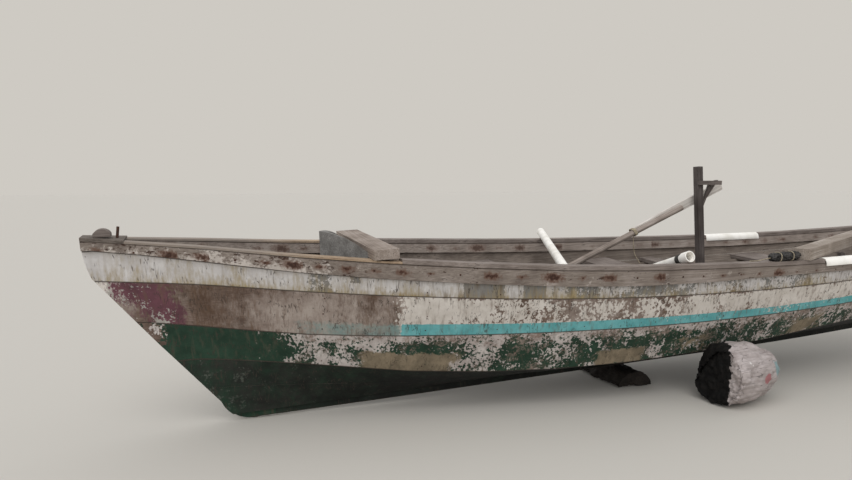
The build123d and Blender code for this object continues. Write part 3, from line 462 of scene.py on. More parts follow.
def cover(tree: Tree, coat: Coat, places: tuple[Node, Node, Node], number: int) -> Node:
    """Mask of one coat.

    Args:
        tree: The material's tree.
        coat: The coat.
        places: Nodes of the place in metres, the share of the length and the share of the height.
        number: Number of the coat, which gives its flakes a pattern of their own.

    Returns:
        Node that gives 1 where the paint holds.
    """
    place, share, up = places
    amount = add(tree, CURVE, {}, {"Value": share}, shares(coat.along, 1.0))
    band = add(tree, CURVE, {}, {"Value": up}, coat.up)
    amount = add(tree, MATH, TIMES, {0: amount, 1: band})
    for spot in coat.spots:
        off = [
            add(tree, MATH, LESS, {0: share, 1: spot.x / BOAT_LENGTH}),
            add(tree, MATH, LESS, {0: up, 1: spot.up}),
        ]
        for axis, half in enumerate((spot.half_x / BOAT_LENGTH, spot.half_up)):
            off[axis] = add(tree, MATH, OVER, {0: off[axis], 1: half})
            off[axis] = add(tree, MATH, SIZE_OF, {0: off[axis]})
        far = add(tree, MATH, {"operation": "SMOOTH_MAX"}, {0: off[0], 1: off[1], 2: 0.35})
        gain = add(tree, RANGE, {}, {0: far, 1: 1 + spot.soft, 2: 1 - spot.soft, 3: 0.0, 4: spot.adds})
        amount = add(tree, MATH, PLUS, {0: amount, 1: gain})
    drawn = add(tree, VECTOR, TIMES, {0: place, 1: (1.0, 1.0, 1 / coat.tall)})
    own = COATS_APART * number
    chips, bald = (
        add(tree, NOISE, PATTERNS, {"Vector": drawn, "W": w, "Scale": 500 / size, "Detail": fine, **ROUGH})
        for size, w, fine in ((coat.flake_mm, own, 4.0), (coat.patch_mm, own + PATCHES_APART, 3.0))
    )
    flakes = add(tree, MIX, {}, {0: coat.fine, 2: bald, 3: chips})
    # The paint holds where there is more of it than the wear takes, and nowhere where its amount is 0
    least, most = NOISE_SPREAD
    wear = add(tree, RANGE, {}, {0: flakes, 1: least, 2: most, 3: 0.02, 4: 0.95})
    held = add(tree, MATH, LESS, {0: amount, 1: wear})
    paint = add(tree, RANGE, {}, {0: held, 1: -coat.edge, 2: coat.edge, 3: 0.0, 4: 1.0})
    begun = add(tree, RANGE, {}, {0: amount, 1: 0.0, 2: 0.08, 3: 0.0, 4: 1.0})
    return add(tree, MATH, TIMES, {0: paint, 1: begun})


def brushed(tree: Tree, coat: Coat, place: Node, mask: Node, colour: Node) -> Node:
    """Lays one coat over what is below it.

    Args:
        tree: The material's tree.
        coat: The coat.
        place: Node of the place in metres.
        mask: Node that gives 1 where the paint holds.
        colour: Node of the colour below.

    Returns:
        Node of the new colour, between the coat's two tones where it holds.
    """
    pattern = {"Vector": place, "W": 3.1, "Scale": 9.0, "Detail": 7.0, "Roughness": 0.66}
    tone = add(tree, NOISE, PATTERNS, pattern)
    paint = add(tree, RAMP, {}, {"Fac": tone}, ((0.38, coat.tones[0]), (0.62, coat.tones[1])))
    return add(tree, MIX, COLOURS, {0: mask, 6: colour, 7: paint})


@dataclass(frozen=True)
class RailTimber(Timber):
    """The same bare board along the gunwale, with a rust stain round every nail that holds it on.

    What remains of its paint is laid out between the sheer and the rail's own lower edge. A stain is
    stain_mm long times its own size between the two sizes, less what its ragged edge takes. It has a
    brown halo and a dark core, each from one depth inside it to another. The cap shades the rail's top.
    """

    nail_spacing: float = 0.17
    nail_drop: float = 0.05
    stain: float = 0.9
    stain_mm: float = 42.0
    stain_flat: float = 2.2
    stain_sizes: tuple[float, float] = (0.7, 2.9)
    ragged: float = 2.4
    ragged_mm: float = 18.18
    halo: tuple[float, float, str] = (-0.5, 0.6, "#62473a")
    core: tuple[float, float, str] = (0.4, 1.0, "#38231c")
    shade: tuple[float, float, str] = (0.9, 0.96, "#3a302b")
    shade_depth: float = 0.8
    remains: tuple[Coat, ...] = ()

    def weathered(self, tree: Tree, place: Node, colour: Node) -> Node:
        """Lays on the rests of paint, the stains under the nail heads and the shade of the cap.

        Args:
            tree: The material's tree.
            place: Node of the place in metres.
            colour: Node of the bare board's colour.

        Returns:
            Node of the new colour.
        """
        axes = add(tree, "ShaderNodeSeparateXYZ", {}, {0: place})
        share = share_aft(tree, axes)
        top, foot = (height_of(tree, share, line) for line in (SHEER, RUB_FOOT))
        rise = add(tree, RANGE, {}, {0: axes.outputs["Z"], 1: foot, 2: top})
        for count, coat in enumerate(self.remains, 1):
            colour = brushed(tree, coat, place, cover(tree, coat, (place, share, rise), count), colour)
        mark = self.marked(tree, place, axes, top)
        for value, (start, full, tone), most in (
            (mark, self.halo, self.stain),
            (mark, self.core, self.stain),
            (rise, self.shade, self.shade_depth),
        ):
            mask = add(tree, RANGE, {}, {0: value, 1: start, 2: full, 3: 0.0, 4: most})
            colour = add(tree, MIX, COLOURS, {0: mask, 6: colour, 7: linear(tone)})
        return colour

    def marked(self, tree: Tree, place: Node, axes: Node, top: Node) -> Node:
        """How far inside the stain of its nearest nail a place lies.

        Args:
            tree: The material's tree.
            place: Node of the place in metres.
            axes: The same, split.
            top: Node of the sheer's height.

        Returns:
            Node that is above 0 inside a stain, which is flat and ragged and has a size of its own.
        """
        turn = add(tree, MATH, OVER, {0: axes.outputs["X"], 1: self.nail_spacing})
        number = add(tree, MATH, {"operation": "FLOOR"}, {0: turn})
        luck = add(tree, "ShaderNodeTexWhiteNoise", {"noise_dimensions": "1D"}, {"W": number})
        eye = add(tree, MATH, TIMES, {0: number, 1: NAIL_TURN})
        eye = add(tree, MATH, {"operation": "SINE"}, {0: eye})
        eye = add(tree, MATH, TIMES_PLUS, {0: eye, 1: NAIL_STRAY, 2: 0.5})
        off = add(tree, MATH, LESS, {0: turn, 1: number})
        off = add(tree, MATH, LESS, {0: off, 1: eye})
        steps = 1000 * self.nail_spacing / self.stain_mm
        off = add(tree, MATH, TIMES, {0: off, 1: steps})
        line = add(tree, MATH, LESS, {0: top, 1: self.nail_drop})
        up = add(tree, MATH, LESS, {0: axes.outputs["Z"], 1: line})
        steps = 1000 * self.stain_flat / self.stain_mm
        up = add(tree, MATH, TIMES, {0: up, 1: steps})
        far = add(tree, "ShaderNodeCombineXYZ", {}, {"X": off, "Y": up})
        far = add(tree, VECTOR, {"operation": "LENGTH"}, {0: far})
        edge = add(tree, NOISE, {}, {"Vector": place, "Scale": 1000 / self.ragged_mm, "Detail": 4.0})
        far = add(tree, MATH, TIMES_PLUS, {0: edge, 1: self.ragged, 2: far.outputs["Value"]})
        least, most = self.stain_sizes
        size = add(tree, RANGE, {}, {0: luck.outputs["Value"], 3: least, 4: most})
        return add(tree, MATH, LESS, {0: size, 1: far})


# Softwood, sawn, bare: silver grey outside, browner inside and where its paint has just gone
GREY_BOARD = Timber("grey_softwood_sawn", ("#9c918a", "#7e736c", "#5f554f"))
INNER_BOARD = Timber("inner_planking_bare", ("#9c9085", "#7b7067", "#554b43"), blotch_mm=220.0)
BROWN_BOARD = Timber("brown_planking_bare", ("#85736a", "#6a594f", "#4c3d35"), blotch_mm=120.0)


@dataclass(frozen=True)
class PaintedPlank:
    """A hull plank painted many times and left to flake: bare board below, coats over it, dirt on top.

    The flaking shows as sharp-edged islands, the dirt as brown runs, and the seams as a dark line. Along
    the lower edge of a rail that covers its top, the same dark line is painted shade. Cracks in the paint
    show as short dark lines in places. The inner face was never painted. Runs are run_length times as long
    as wide.
    """

    name: str
    coats: tuple[Coat, ...]
    top_line: Profile
    low_line: Profile
    board: Timber = BROWN_BOARD
    inner: Timber = INNER_BOARD
    dirt: str = "#5d4b3d"
    dirt_along: Profile = ((0.0, 0.45), (BOAT_LENGTH, 0.6))
    run_mm: float = 16.0
    run_length: float = 14.0
    cracked_mm: float = 71.43
    seam_mm: tuple[float, float] = (1.0, 6.0)
    covered: Profile | None = None
    roughness: float = 0.7

    def build(self) -> bpy.types.Material:
        """Makes the material of a plank of the hull, painted outside and bare inside.

        Returns:
            The material.
        """
        tree = blank(self.name)
        place = self.board.place(tree)
        axes = add(tree, "ShaderNodeSeparateXYZ", {}, {0: place})
        share = share_aft(tree, axes)
        low, top = (height_of(tree, share, line) for line in (self.low_line, self.top_line))
        up = add(tree, RANGE, {}, {0: axes.outputs["Z"], 1: low, 2: top})
        colour, height = self.board.grain(tree, place)
        for number, coat in enumerate(self.coats, 1):
            mask = cover(tree, coat, (place, share, up), number)
            colour = brushed(tree, coat, place, mask, colour)
            level_up = add(tree, MATH, TIMES, {0: mask, 1: 0.5})
            height = add(tree, MATH, PLUS, {0: height, 1: level_up})
        # Painted shade: where a rail covers the plank's top, the upper dark line runs along the rail's
        # lower edge
        brink = height_of(tree, share, self.covered) if self.covered else top
        colour = self.soil(tree, colour, (place, share, axes), (low, brink))
        inner, inner_height = self.inner.grain(tree, place)
        outside = self.outside(tree, axes)
        colour = add(tree, MIX, COLOURS, {0: outside, 6: inner, 7: colour})
        height = add(tree, MIX, {}, {0: outside, 2: inner_height, 3: height})
        self.board.finish(tree, colour, height, self.roughness)
        return bpy.data.materials[self.name]

    def soil(
        self, tree: Tree, colour: Node, places: tuple[Node, Node, Node], edges: tuple[Node, Node]
    ) -> Node:
        """Brown runs down the plank, dark lines along its seams, and painted shade along the lower edge of
        a rail that covers its top.

        Args:
            tree: The material's tree.
            colour: Node of the painted colour.
            places: Nodes of the place, the share of the length and the split axes.
            edges: Nodes of the heights of the plank's lower seam and of what overhangs it.

        Returns:
            Node of the soiled colour.
        """
        place, share, axes = places
        thin = 1000 / self.run_mm
        scales = (thin, thin, thin / self.run_length)
        drawn = add(tree, VECTOR, TIMES, {0: place, 1: scales})
        runs = add(tree, NOISE, {}, {"Vector": drawn, "Scale": 0.7, "Detail": 5.0})
        amount = add(tree, CURVE, {}, {"Value": share}, shares(self.dirt_along, 1.0))
        marks = add(tree, RANGE, {}, {0: runs, 1: 0.53, 2: 0.7})
        marks = add(tree, MATH, TIMES, {0: marks, 1: amount})
        soiled = add(tree, MIX, COLOURS, {0: marks, 6: colour, 7: linear(self.dirt)})
        crack = PAINT_CRACKS.mask(tree, drawn)
        pattern = {"Vector": place, "W": 5.0, "Scale": 1000 / self.cracked_mm, "Detail": 2.0}
        few = add(tree, NOISE, PATTERNS, pattern)
        few = add(tree, RANGE, {}, {0: few, 1: 0.53, 2: 0.58})
        lines = add(tree, MATH, TIMES, {0: crack, 1: few})
        near, far = (width / 1000 for width in self.seam_mm)
        # Dark lines along the seams, and painted shade along the lower edge of a covering rail
        for edge in edges:
            gap = add(tree, MATH, LESS, {0: axes.outputs["Z"], 1: edge})
            gap = add(tree, MATH, SIZE_OF, {0: gap})
            seam_and_shade = add(tree, RANGE, {}, {0: gap, 1: near, 2: far, 3: 0.9, 4: 0.0})
            lines = add(tree, MATH, {"operation": "MAXIMUM"}, {0: lines, 1: seam_and_shade})
        return add(tree, MIX, COLOURS, {0: lines, 6: soiled, 7: linear(SEAM_AND_SHADE_TONE)})

    def outside(self, tree: Tree, axes: Node) -> Node:
        """Tells the painted face of a plank from the bare one.

        Args:
            tree: The material's tree.
            axes: Node of the place, split.

        Returns:
            Node that gives 1 on faces that look away from the boat's middle or down, and 0 on the others.
        """
        side = add(tree, MATH, {"operation": "SIGN"}, {0: axes.outputs["Y"]})
        away = add(tree, "ShaderNodeCombineXYZ", {}, {"Y": side, "Z": -0.6})
        facing = add(tree, "ShaderNodeNewGeometry")
        turned = add(tree, VECTOR, {"operation": "DOT_PRODUCT"}, {0: facing.outputs["Normal"], 1: away})
        return add(tree, MATH, {"operation": "GREATER_THAN"}, {0: turned.outputs["Value"], 1: 0.0})


@dataclass(frozen=True)
class Driftwood(Timber):
    """A log bleached by sun and salt, dark where it is burnt, with dabs of boat paint.

    The char ends at a plane: burnt_way is its normal and burnt how far along that it lies, in metres,
    with an edge ragged by burnt_mm. A dab is a centre, a radius and a colour.
    """

    burnt: float = -10.0
    burnt_way: Point = (1.0, 0.0, 0.0)
    burnt_mm: float = 24.0
    burnt_edge_mm: float = 2.0
    ragged_mm: float = 33.333
    dab_cover: float = 0.75
    soot: tuple[tuple[float, str], ...] = ((0.45, "#040303"), (0.7, "#14110f"))
    dabs: tuple[tuple[Point, float, str], ...] = ()

    def weathered(self, tree: Tree, place: Node, colour: Node) -> Node:
        """Lays on the dabs of paint and the char.

        Args:
            tree: The material's tree.
            place: Node of the place in metres.
            colour: Node of the bare log's colour.

        Returns:
            Node of the new colour.
        """
        where = add(tree, "ShaderNodeTexCoord").outputs["Object"]
        ragged = add(tree, NOISE, {}, {"Vector": place, "Scale": 1000 / self.ragged_mm, "Detail": 6.0})
        for centre, radius, tone in self.dabs:
            far = add(tree, VECTOR, {"operation": "DISTANCE"}, {0: where, 1: centre})
            far = add(tree, MATH, TIMES_PLUS, {0: ragged, 1: radius, 2: far.outputs["Value"]})
            rim, full = 1.5 * radius, 1.3 * radius
            dab = add(tree, RANGE, {}, {0: far, 1: rim, 2: full, 3: 0.0, 4: self.dab_cover})
            colour = add(tree, MIX, COLOURS, {0: dab, 6: colour, 7: linear(tone)})
        reach = add(tree, VECTOR, {"operation": "DOT_PRODUCT"}, {0: where, 1: self.burnt_way})
        rough = self.burnt_mm / 250
        along = add(tree, MATH, TIMES_PLUS, {0: ragged, 1: rough, 2: reach.outputs["Value"]})
        edge, soft = self.burnt + self.burnt_mm / 500, self.burnt_edge_mm / 1000
        char = add(tree, RANGE, {}, {0: along, 1: edge + soft, 2: edge - soft, 3: 0.0, 4: 1.0})
        soot = add(tree, RAMP, {}, {"Fac": ragged}, self.soot)
        return add(tree, MIX, COLOURS, {0: char, 6: colour, 7: soot})


@dataclass(frozen=True)
class Surface:
    """A plain hard surface with weather on it: a base tone, blotches of a second one, and fine pits.

    metallic is 1 for bare metal, which keeps the default IOR.
    """

    name: str
    base: str
    worn: str
    blotch_mm: float
    roughness: float
    metallic: float = 0.0
    pit_mm: float = 4.0
    relief_mm: float = 0.3
    wear: tuple[float, float] = (0.45, 0.65)

    def build(self) -> bpy.types.Material:
        """Makes the material.

        Returns:
            The material.
        """
        tree = blank(self.name)
        where = add(tree, "ShaderNodeTexCoord").outputs["Object"]
        blotch, pits = (
            add(tree, NOISE, {}, {"Vector": where, "Scale": 1000 / size, "Detail": detail})
            for size, detail in ((self.blotch_mm, 6.0), (self.pit_mm, 3.0))
        )
        stops = tuple(zip(self.wear, (self.base, self.worn)))
        colour = add(tree, RAMP, {}, {"Fac": blotch}, stops)
        look = {"Base Color": colour, "Roughness": self.roughness, "Metallic": self.metallic}
        surfaced(tree, look, pits, self.relief_mm, 0.8)
        return bpy.data.materials[self.name]


# Softwood on the rubbing strake, bare: pale rests of paint towards the bow, dark spots and rust stains
RAIL_BOARD = RailTimber(
    "rub_rail_softwood",
    ("#a0958e", "#83786f", "#645953"),
    remains=(
        Coat(
            ("#b3aaa2", "#c3bab2"),
            ((0.0, 0.3), (0.2, 0.42), (0.9, 0.42), (1.25, 0.5), (1.4, 0.2), (1.6, 0.06), (7.15, 0.05)),
            ((0.0, 1.3), (0.4, 1.15), (0.7, 0.75), (1.0, 0.8)),
            flake_mm=11.0, patch_mm=70.0, edge=0.12,
        ),
        Coat(
            ("#4c3a31", "#3a2b25"),
            ((0.0, 0.2), (0.4, 0.3), (1.4, 0.3), (1.7, 0.12), (7.15, 0.12)),
            flake_mm=12.0, patch_mm=40.0, edge=0.1, tall=0.5,
        ),
    ),
)

# Paints that come back on several pieces, and a coat that shows in its spots alone
GREEN, MAROON = ("#193124", "#274132"), ("#56363d", "#6a434c")
IN_SPOTS: Profile = ((0.0, 0.0), (BOAT_LENGTH, 0.0))

# Oil paint, brushed, white over grey: chalked nearly matt, with tan runs low down and painted shade under
# the rubbing strake
TOP_PAINT = PaintedPlank(
    "top_strake_flaking_white",
    (
        Coat(
            ("#71706d", "#84817d"),
            ((0.0, 0.9), (2.0, 0.8), (2.2, 0.95), (2.65, 0.9), (3.0, 0.85), (3.6, 0.75), (7.15, 0.6)),
            flake_mm=16.0, patch_mm=120.0,
        ),
        Coat(
            ("#b6b1ae", "#cbc7c4"),
            (
                (0.0, 0.98), (1.1, 0.97), (1.2, 0.8), (1.4, 0.8), (1.5, 0.93), (1.95, 0.9), (2.12, 0.8),
                (2.6, 0.76), (2.95, 0.62), (3.05, 0.5), (3.6, 0.46), (3.75, 0.6), (4.6, 0.6), (5.2, 0.75),
                (7.15, 0.7),
            ),
            ((0.0, 0.86), (0.12, 1.0), (1.0, 1.0)),
            flake_mm=8.0, patch_mm=80.0,
            spots=(
                Spot(1.28, 0.3, 0.07, 0.5, -0.45),
                Spot(1.48, 0.45, 0.03, 0.12, -0.8),
                Spot(2.23, 0.4, 0.12, 0.5, -1.0, 0.08),
                Spot(2.54, 0.3, 0.07, 0.4, -0.9, 0.1),
                Spot(2.84, 0.5, 0.1, 0.5, -0.35, 0.3),
            ),
        ),
        Coat(
            ("#9a8a66", "#857251"),
            (
                (0.0, 0.05), (0.35, 0.2), (0.9, 0.34), (1.2, 0.22), (1.6, 0.22), (1.85, 0.4), (2.1, 0.18),
                (2.65, 0.36), (3.0, 0.28), (4.0, 0.24), (7.15, 0.2),
            ),
            ((0.0, 2.2), (0.15, 1.2), (0.4, 0.4), (1.0, 0.3)),
            flake_mm=7.0, patch_mm=60.0, edge=0.4, tall=4.0,
        ),
    ),
    SHEER,
    UPPER_SEAM,
    dirt="#6b5c49",
    # Painted shade: a dark line along the rubbing strake's lower edge, where it shades the plank
    covered=RUB_FOOT,
    dirt_along=((0.0, 0.1), (0.5, 0.2), (1.4, 0.3), (1.9, 0.6), (4.0, 0.7), (7.15, 0.6)),
)
# Oil paint, brushed, in many coats: dirty brown forward, maroon at the stem, cream with a turquoise
# stripe aft, flaking to bare brown wood
MIDDLE_PAINT = PaintedPlank(
    "middle_strake_flaking_cream",
    (
        Coat(
            ("#8a7c73", "#a4988f"),
            (
                (0.0, 0.6), (0.25, 0.4), (0.45, 0.15), (0.65, 0.2), (0.9, 0.5), (1.15, 0.8), (1.45, 0.72),
                (1.74, 0.45), (1.78, 0.85), (2.05, 0.8), (2.15, 0.35), (3.6, 0.35), (3.9, 0.6), (7.15, 0.6),
            ),
            ((0.0, 0.8), (0.5, 1.15), (1.0, 0.8)),
            flake_mm=18.0, patch_mm=130.0, fine=0.3, edge=0.3, tall=1.3,
        ),
        Coat(
            ("#4b382c", "#5e4a3c"),
            (
                (0.3, 0.0), (0.45, 0.42), (0.62, 0.5), (0.8, 0.36), (1.1, 0.12), (1.4, 0.16), (1.6, 0.4),
                (1.74, 0.4), (1.8, 0.1), (2.1, 0.16), (7.15, 0.2),
            ),
            flake_mm=5.0, patch_mm=60.0, edge=0.3, tall=4.0,
        ),
        Coat(
            ("#bfb7ae", "#d3ccc4"),
            (
                (0.0, 0.6), (0.1, 0.3), (0.3, 0.1), (0.5, 0.0), (1.66, 0.0), (1.75, 0.5), (1.82, 0.97),
                (2.06, 0.9), (2.14, 0.66), (2.4, 0.66), (2.7, 0.54), (3.2, 0.48), (3.6, 0.68), (4.4, 0.8),
                (7.15, 0.78),
            ),
            ((0.0, 1.0), (0.9, 1.0), (0.95, 0.75), (1.0, 0.6)),
            flake_mm=9.0, patch_mm=55.0, fine=0.6, tall=1.2,
            spots=(Spot(0.1, 0.95, 0.16, 0.25, 0.6, 0.5),),
        ),
        Coat(
            MAROON,
            IN_SPOTS,
            flake_mm=7.0, patch_mm=50.0, edge=0.2, tall=1.5,
            spots=(
                Spot(0.24, 0.76, 0.14, 0.26, 0.8, 0.6),
                Spot(0.37, 0.5, 0.11, 0.36, 0.8, 0.6),
                Spot(0.45, 0.2, 0.08, 0.3, 0.6, 0.6),
            ),
        ),
        Coat(
            ("#8f8983", "#aaa59e"),
            IN_SPOTS,
            flake_mm=6.0, patch_mm=26.0,
            spots=(Spot(0.38, 0.16, 0.08, 0.28, 0.46, 0.6), Spot(0.19, 0.66, 0.12, 0.3, 0.36, 0.6)),
        ),
        Coat(
            ("#728683", "#84918b"),
            ((1.05, 0.0), (1.3, 0.45), (1.74, 0.7), (1.76, 0.0)),
            ((0.0, 1.0), (0.24, 1.0), (0.34, 0.0), (1.0, 0.0)),
            flake_mm=9.0, edge=0.35,
        ),
        Coat(
            ("#559a9c", "#70afb1"),
            ((1.745, 0.0), (1.76, 0.99), (3.2, 0.95), (3.6, 0.84), (4.6, 0.8), (5.6, 0.7), (5.8, 0.0)),
            ((0.0, 0.96), (0.29, 0.96), (0.31, 0.0), (1.0, 0.0)),
            flake_mm=8.0, fine=0.7,
        ),
    ),
    UPPER_SEAM,
    LOWER_SEAM,
    dirt="#644f3f",
    dirt_along=((0.0, 0.1), (0.5, 0.6), (1.6, 0.6), (1.8, 0.4), (2.4, 0.55), (7.15, 0.55)),
)
# Oil paint, brushed, dark green at the bow, then flaked to an older white and patched with tan filler
LOWER_PAINT = PaintedPlank(
    "lower_strake_flaking_green",
    (
        Coat(
            GREEN,
            ((0.0, 0.2), (0.36, 0.4), (0.44, 0.97), (1.4, 0.95), (1.9, 0.85), (7.15, 0.85)),
            flake_mm=9.0, patch_mm=60.0,
        ),
        Coat(
            ("#a99e99", "#c8c0bb"),
            (
                (0.8, 0.0), (1.0, 0.1), (1.15, 0.34), (1.3, 0.54), (1.6, 0.5), (2.0, 0.42), (2.12, 0.55),
                (2.35, 0.4), (2.55, 0.34), (2.75, 0.5), (3.05, 0.34), (3.4, 0.42), (4.0, 0.4),
                (5.0, 0.45), (7.15, 0.45),
            ),
            ((0.0, 1.0), (0.3, 0.95), (0.5, 0.85), (0.7, 1.0), (0.84, 1.3), (1.0, 1.5)),
            flake_mm=9.0, patch_mm=60.0, fine=0.52, tall=1.2,
            spots=(Spot(0.37, 0.86, 0.05, 0.22, 0.42, 0.6), Spot(1.85, 0.62, 0.16, 0.16, -0.3, 0.6)),
        ),
        Coat(
            ("#7c6b62", "#94847a"),
            ((0.9, 0.0), (1.2, 0.3), (7.15, 0.35)),
            ((0.0, 0.5), (0.6, 0.6), (0.85, 1.1), (1.0, 1.3)),
            flake_mm=8.0, patch_mm=60.0, edge=0.2,
        ),
        Coat(
            ("#6c6150", "#8b7d68"),
            IN_SPOTS,
            flake_mm=14.0, patch_mm=60.0, edge=0.16,
            spots=(
                Spot(1.81, 0.22, 0.28, 0.28, 1.0, 0.25),
                Spot(3.2, 0.2, 0.16, 0.22, 0.95, 0.3),
                Spot(4.7, 0.3, 0.14, 0.32, 0.75, 0.5),
                Spot(3.75, 0.3, 0.14, 0.3, 0.45, 0.6),
            ),
        ),
    ),
    LOWER_SEAM,
    CHINE,
    dirt="#4e4a3d",
)
# Bottom paint, brushed: dull green with scuffs of grey, its tones darkened as painted shade for the
# underside, and going black aft as deeper painted shade
BOTTOM_PAINT = PaintedPlank(
    "bottom_planks_green_painted_shade",
    (
        # Dull green, darker than the paint is: painted shade for the underside
        Coat(("#15291d", "#1e3728"), ((0.0, 1.0), (7.15, 0.97)), flake_mm=20.0),
        Coat(
            ("#1b1d19", "#2c2d28"),
            ((0.0, 0.35), (0.6, 0.4), (0.85, 0.6), (1.2, 0.5), (1.6, 0.4), (7.15, 0.45)),
            flake_mm=16.0, patch_mm=130.0, edge=0.35,
        ),
        Coat(
            ("#474c44", "#595d55"),
            ((0.0, 0.24), (0.8, 0.2), (1.2, 0.08), (7.15, 0.08)),
            flake_mm=6.0, patch_mm=50.0, edge=0.12,
        ),
        # Painted shade: near black from the bilge aft, standing for the shadow under the hull
        Coat(
            ("#070907", "#0f120f"),
            ((0.7, 0.0), (1.1, 0.3), (1.8, 0.8), (2.3, 0.97), (7.15, 0.97)),
            flake_mm=30.0, patch_mm=200.0, edge=0.5,
        ),
    ),
    CHINE,
    KEEL_LINE,
    dirt="#1b1f1a",
)
# The same colours on the stem, by height: white at the head, maroon, then green
STEM_PAINT = PaintedPlank(
    "stem_worn_paint",
    (
        Coat(
            ("#a9a69f", "#bfbcb6"),
            EVERYWHERE,
            ((0.0, 0.0), (0.62, 0.3), (0.74, 0.5), (0.79, 0.9), (0.96, 0.9), (1.0, 0.9)),
            flake_mm=8.0, patch_mm=50.0,
        ),
        Coat(
            MAROON,
            EVERYWHERE,
            ((0.5, 0.0), (0.58, 0.45), (0.7, 0.7), (0.78, 0.4), (0.82, 0.0)),
            flake_mm=8.0, patch_mm=50.0, edge=0.12,
        ),
        Coat(
            GREEN,
            EVERYWHERE,
            ((0.0, 0.95), (0.5, 0.9), (0.58, 0.4), (0.62, 0.0)),
            flake_mm=9.0, patch_mm=60.0,
        ),
    ),
    FULL_HEIGHT,
    KEEL_LINE,
    GREY_BOARD,
    GREY_BOARD,
)
# And on the transom: cream over green
TRANSOM_PAINT = PaintedPlank(
    "transom_worn_paint",
    (
        Coat(GREEN, EVERYWHERE, ((0.0, 0.95), (0.42, 0.8), (0.44, 0.0)), flake_mm=9.0),
        Coat(("#a89f95", "#bbb3a9"), EVERYWHERE, ((0.42, 0.0), (0.44, 0.8), (1.0, 0.75)), flake_mm=9.0),
    ),
    FULL_HEIGHT,
    KEEL_LINE,
)
# PVC drain pipe, extruded: smooth and off-white, chalked and soiled by the sun
PIPE = Surface("pvc_pipe_chalked", "#f6f2eb", "#e0dbd1", 130.0, 0.42, relief_mm=0.05)
# Galvanised strip, hot-dipped: dull zinc with darker bloom
ZINC = Surface("zinc_strip_dull", "#d2d3d0", "#adaeab", 30.0, 0.4, metallic=1.0)
# Iron, forged and rusted through: no metal shine is left, only brown scale
IRON = Surface("iron_rusted", "#4b2f22", "#2e201a", 9.0, 0.85, relief_mm=0.5)
# Polyethylene sheet, folded: black with a soft sheen, blotched with a dustier grey
SHEET = Surface("polyethylene_sheet_black", "#211f1f", "#3b3836", 40.0, 0.5, pit_mm=9.0, relief_mm=2.0)
# Polypropylene twine, laid: pale and faded, its fibres too fine to show
TWINE = Surface("laid_twine_faded", "#a69a84", "#80745f", 14.0, 0.8, relief_mm=0.3, pit_mm=2.0)
# Tarred twine: black and slightly glossy
TARRED = Surface("tarred_twine", "#262422", "#3b3732", 14.0, 0.6, relief_mm=0.3, pit_mm=2.0)


def timber(name: str, tones: tuple[str, str, str], start: Point, end: Point, **more: float) -> Timber:
    """A bare board finish whose grain runs from one point to another.

    Args:
        name: Name of the material.
        tones: Pale, middle and dark tone.
        start: A point at one end of the piece.
        end: A point at its other end.
        more: Other sizes of the Timber.

    Returns:
        The finish.
    """
    return Timber(name, tones, tuple(Vector(end) - Vector(start)), **more)


# Pale, middle and dark tones of bare boards
GREYS = ("#9a9089", "#7a706a", "#574e48")
DEEP_GREYS = ("#7d736d", "#5f5753", "#423a36")
POST_GREYS = ("#706763", "#544d4a", "#39322f")
BROWNS = ("#aea299", "#908379", "#63564c")


def made(finish: Any) -> bpy.types.Material:
    """A finish's material, built the first time that it is asked for."""
    return bpy.data.materials.get(finish.name) or finish.build()


def dress(finish: Any, *names: str) -> None:
    """Gives CAD nodes a finish.

    Args:
        finish: Finish with a build method.
        names: Names of the nodes.
    """
    material = made(finish)
    for name in names:
        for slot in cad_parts[name].material_slots:
            slot.material = material
    LOG.info("%s on %s", material.name, ", ".join(names))


def paired(*stems: str) -> list[str]:
    """Names of both sides' nodes."""
    return [f"{stem}_{side.label}" for stem in stems for side in Side]


@dataclass
class Hull:
    """Planking, backbone and the timbers inside.

    rows_up are shares of a plank's height. Its nails stray from the frame by a sine of that height. On the
    top strake only the rows up to top_rows_below show under the rubbing strake.
    """

    nail_radius: float = 0.0042
    nail_height: float = 0.0012
    rows_up: tuple[float, ...] = (0.14, 0.5, 0.86)
    nail_stray: float = 0.012
    nail_turn: float = 37.0
    top_rows_below: float = 0.5
    rib_way: Point = (0.0, 0.0, 1.0)
    thwart_way: Point = (0.0, 1.0, 0.0436)

    def dress(self) -> None:
        """Paints the planks and greys the timbers, whose grain runs as each was sawn."""
        ribs = Timber("rib_softwood", DEEP_GREYS, self.rib_way)
        athwart = Timber("thwart_softwood", GREYS, self.thwart_way)
        thwarts = ("thwart_fore", "thwart_mid", "post_thwart", "thwart_aft")
        for finish, *nodes in (
            (TOP_PAINT, *paired("strake_top")),
            (MIDDLE_PAINT, *paired("strake_middle")),
            (LOWER_PAINT, *paired("strake_lower")),
            (BOTTOM_PAINT, *paired("bilge_plank", "garboard"), "keel"),
            (STEM_PAINT, "stem"),
            (TRANSOM_PAINT, "transom"),
            (ZINC, "keel_band"),
            (INNER_BOARD, "bottom_boards", *paired("riser")),
            (ribs, "transom_knee", *paired("ribs")),
            (athwart, "floor_timbers", "post_step", *thwarts),
        ):
            dress(finish, *nodes)

    def nails(self) -> Piece:
        """Nail heads up every frame, three to a plank, less those that the rubbing strake hides.

        Returns:
            The piece.
        """
        starts = []
        for side in Side:
            for share in STATIONS:
                x = share * BOAT_LENGTH
                for top, low in ((SHEER, UPPER_SEAM), (UPPER_SEAM, LOWER_SEAM), (LOWER_SEAM, CHINE)):
                    for up in self.rows_up:
                        z = level(low, x) + (level(top, x) - level(low, x)) * up
                        if top is SHEER and up > self.top_rows_below:
                            continue
                        off = self.nail_stray * math.sin(self.nail_turn * up)
                        starts.append((in_row(x + off, OUTBOARD * side.value, z), side))
        targets = paired("strake_top", "strake_middle", "strake_lower")
        return NailRows("plank_nails", starts, targets, self.nail_radius, self.nail_height).build()


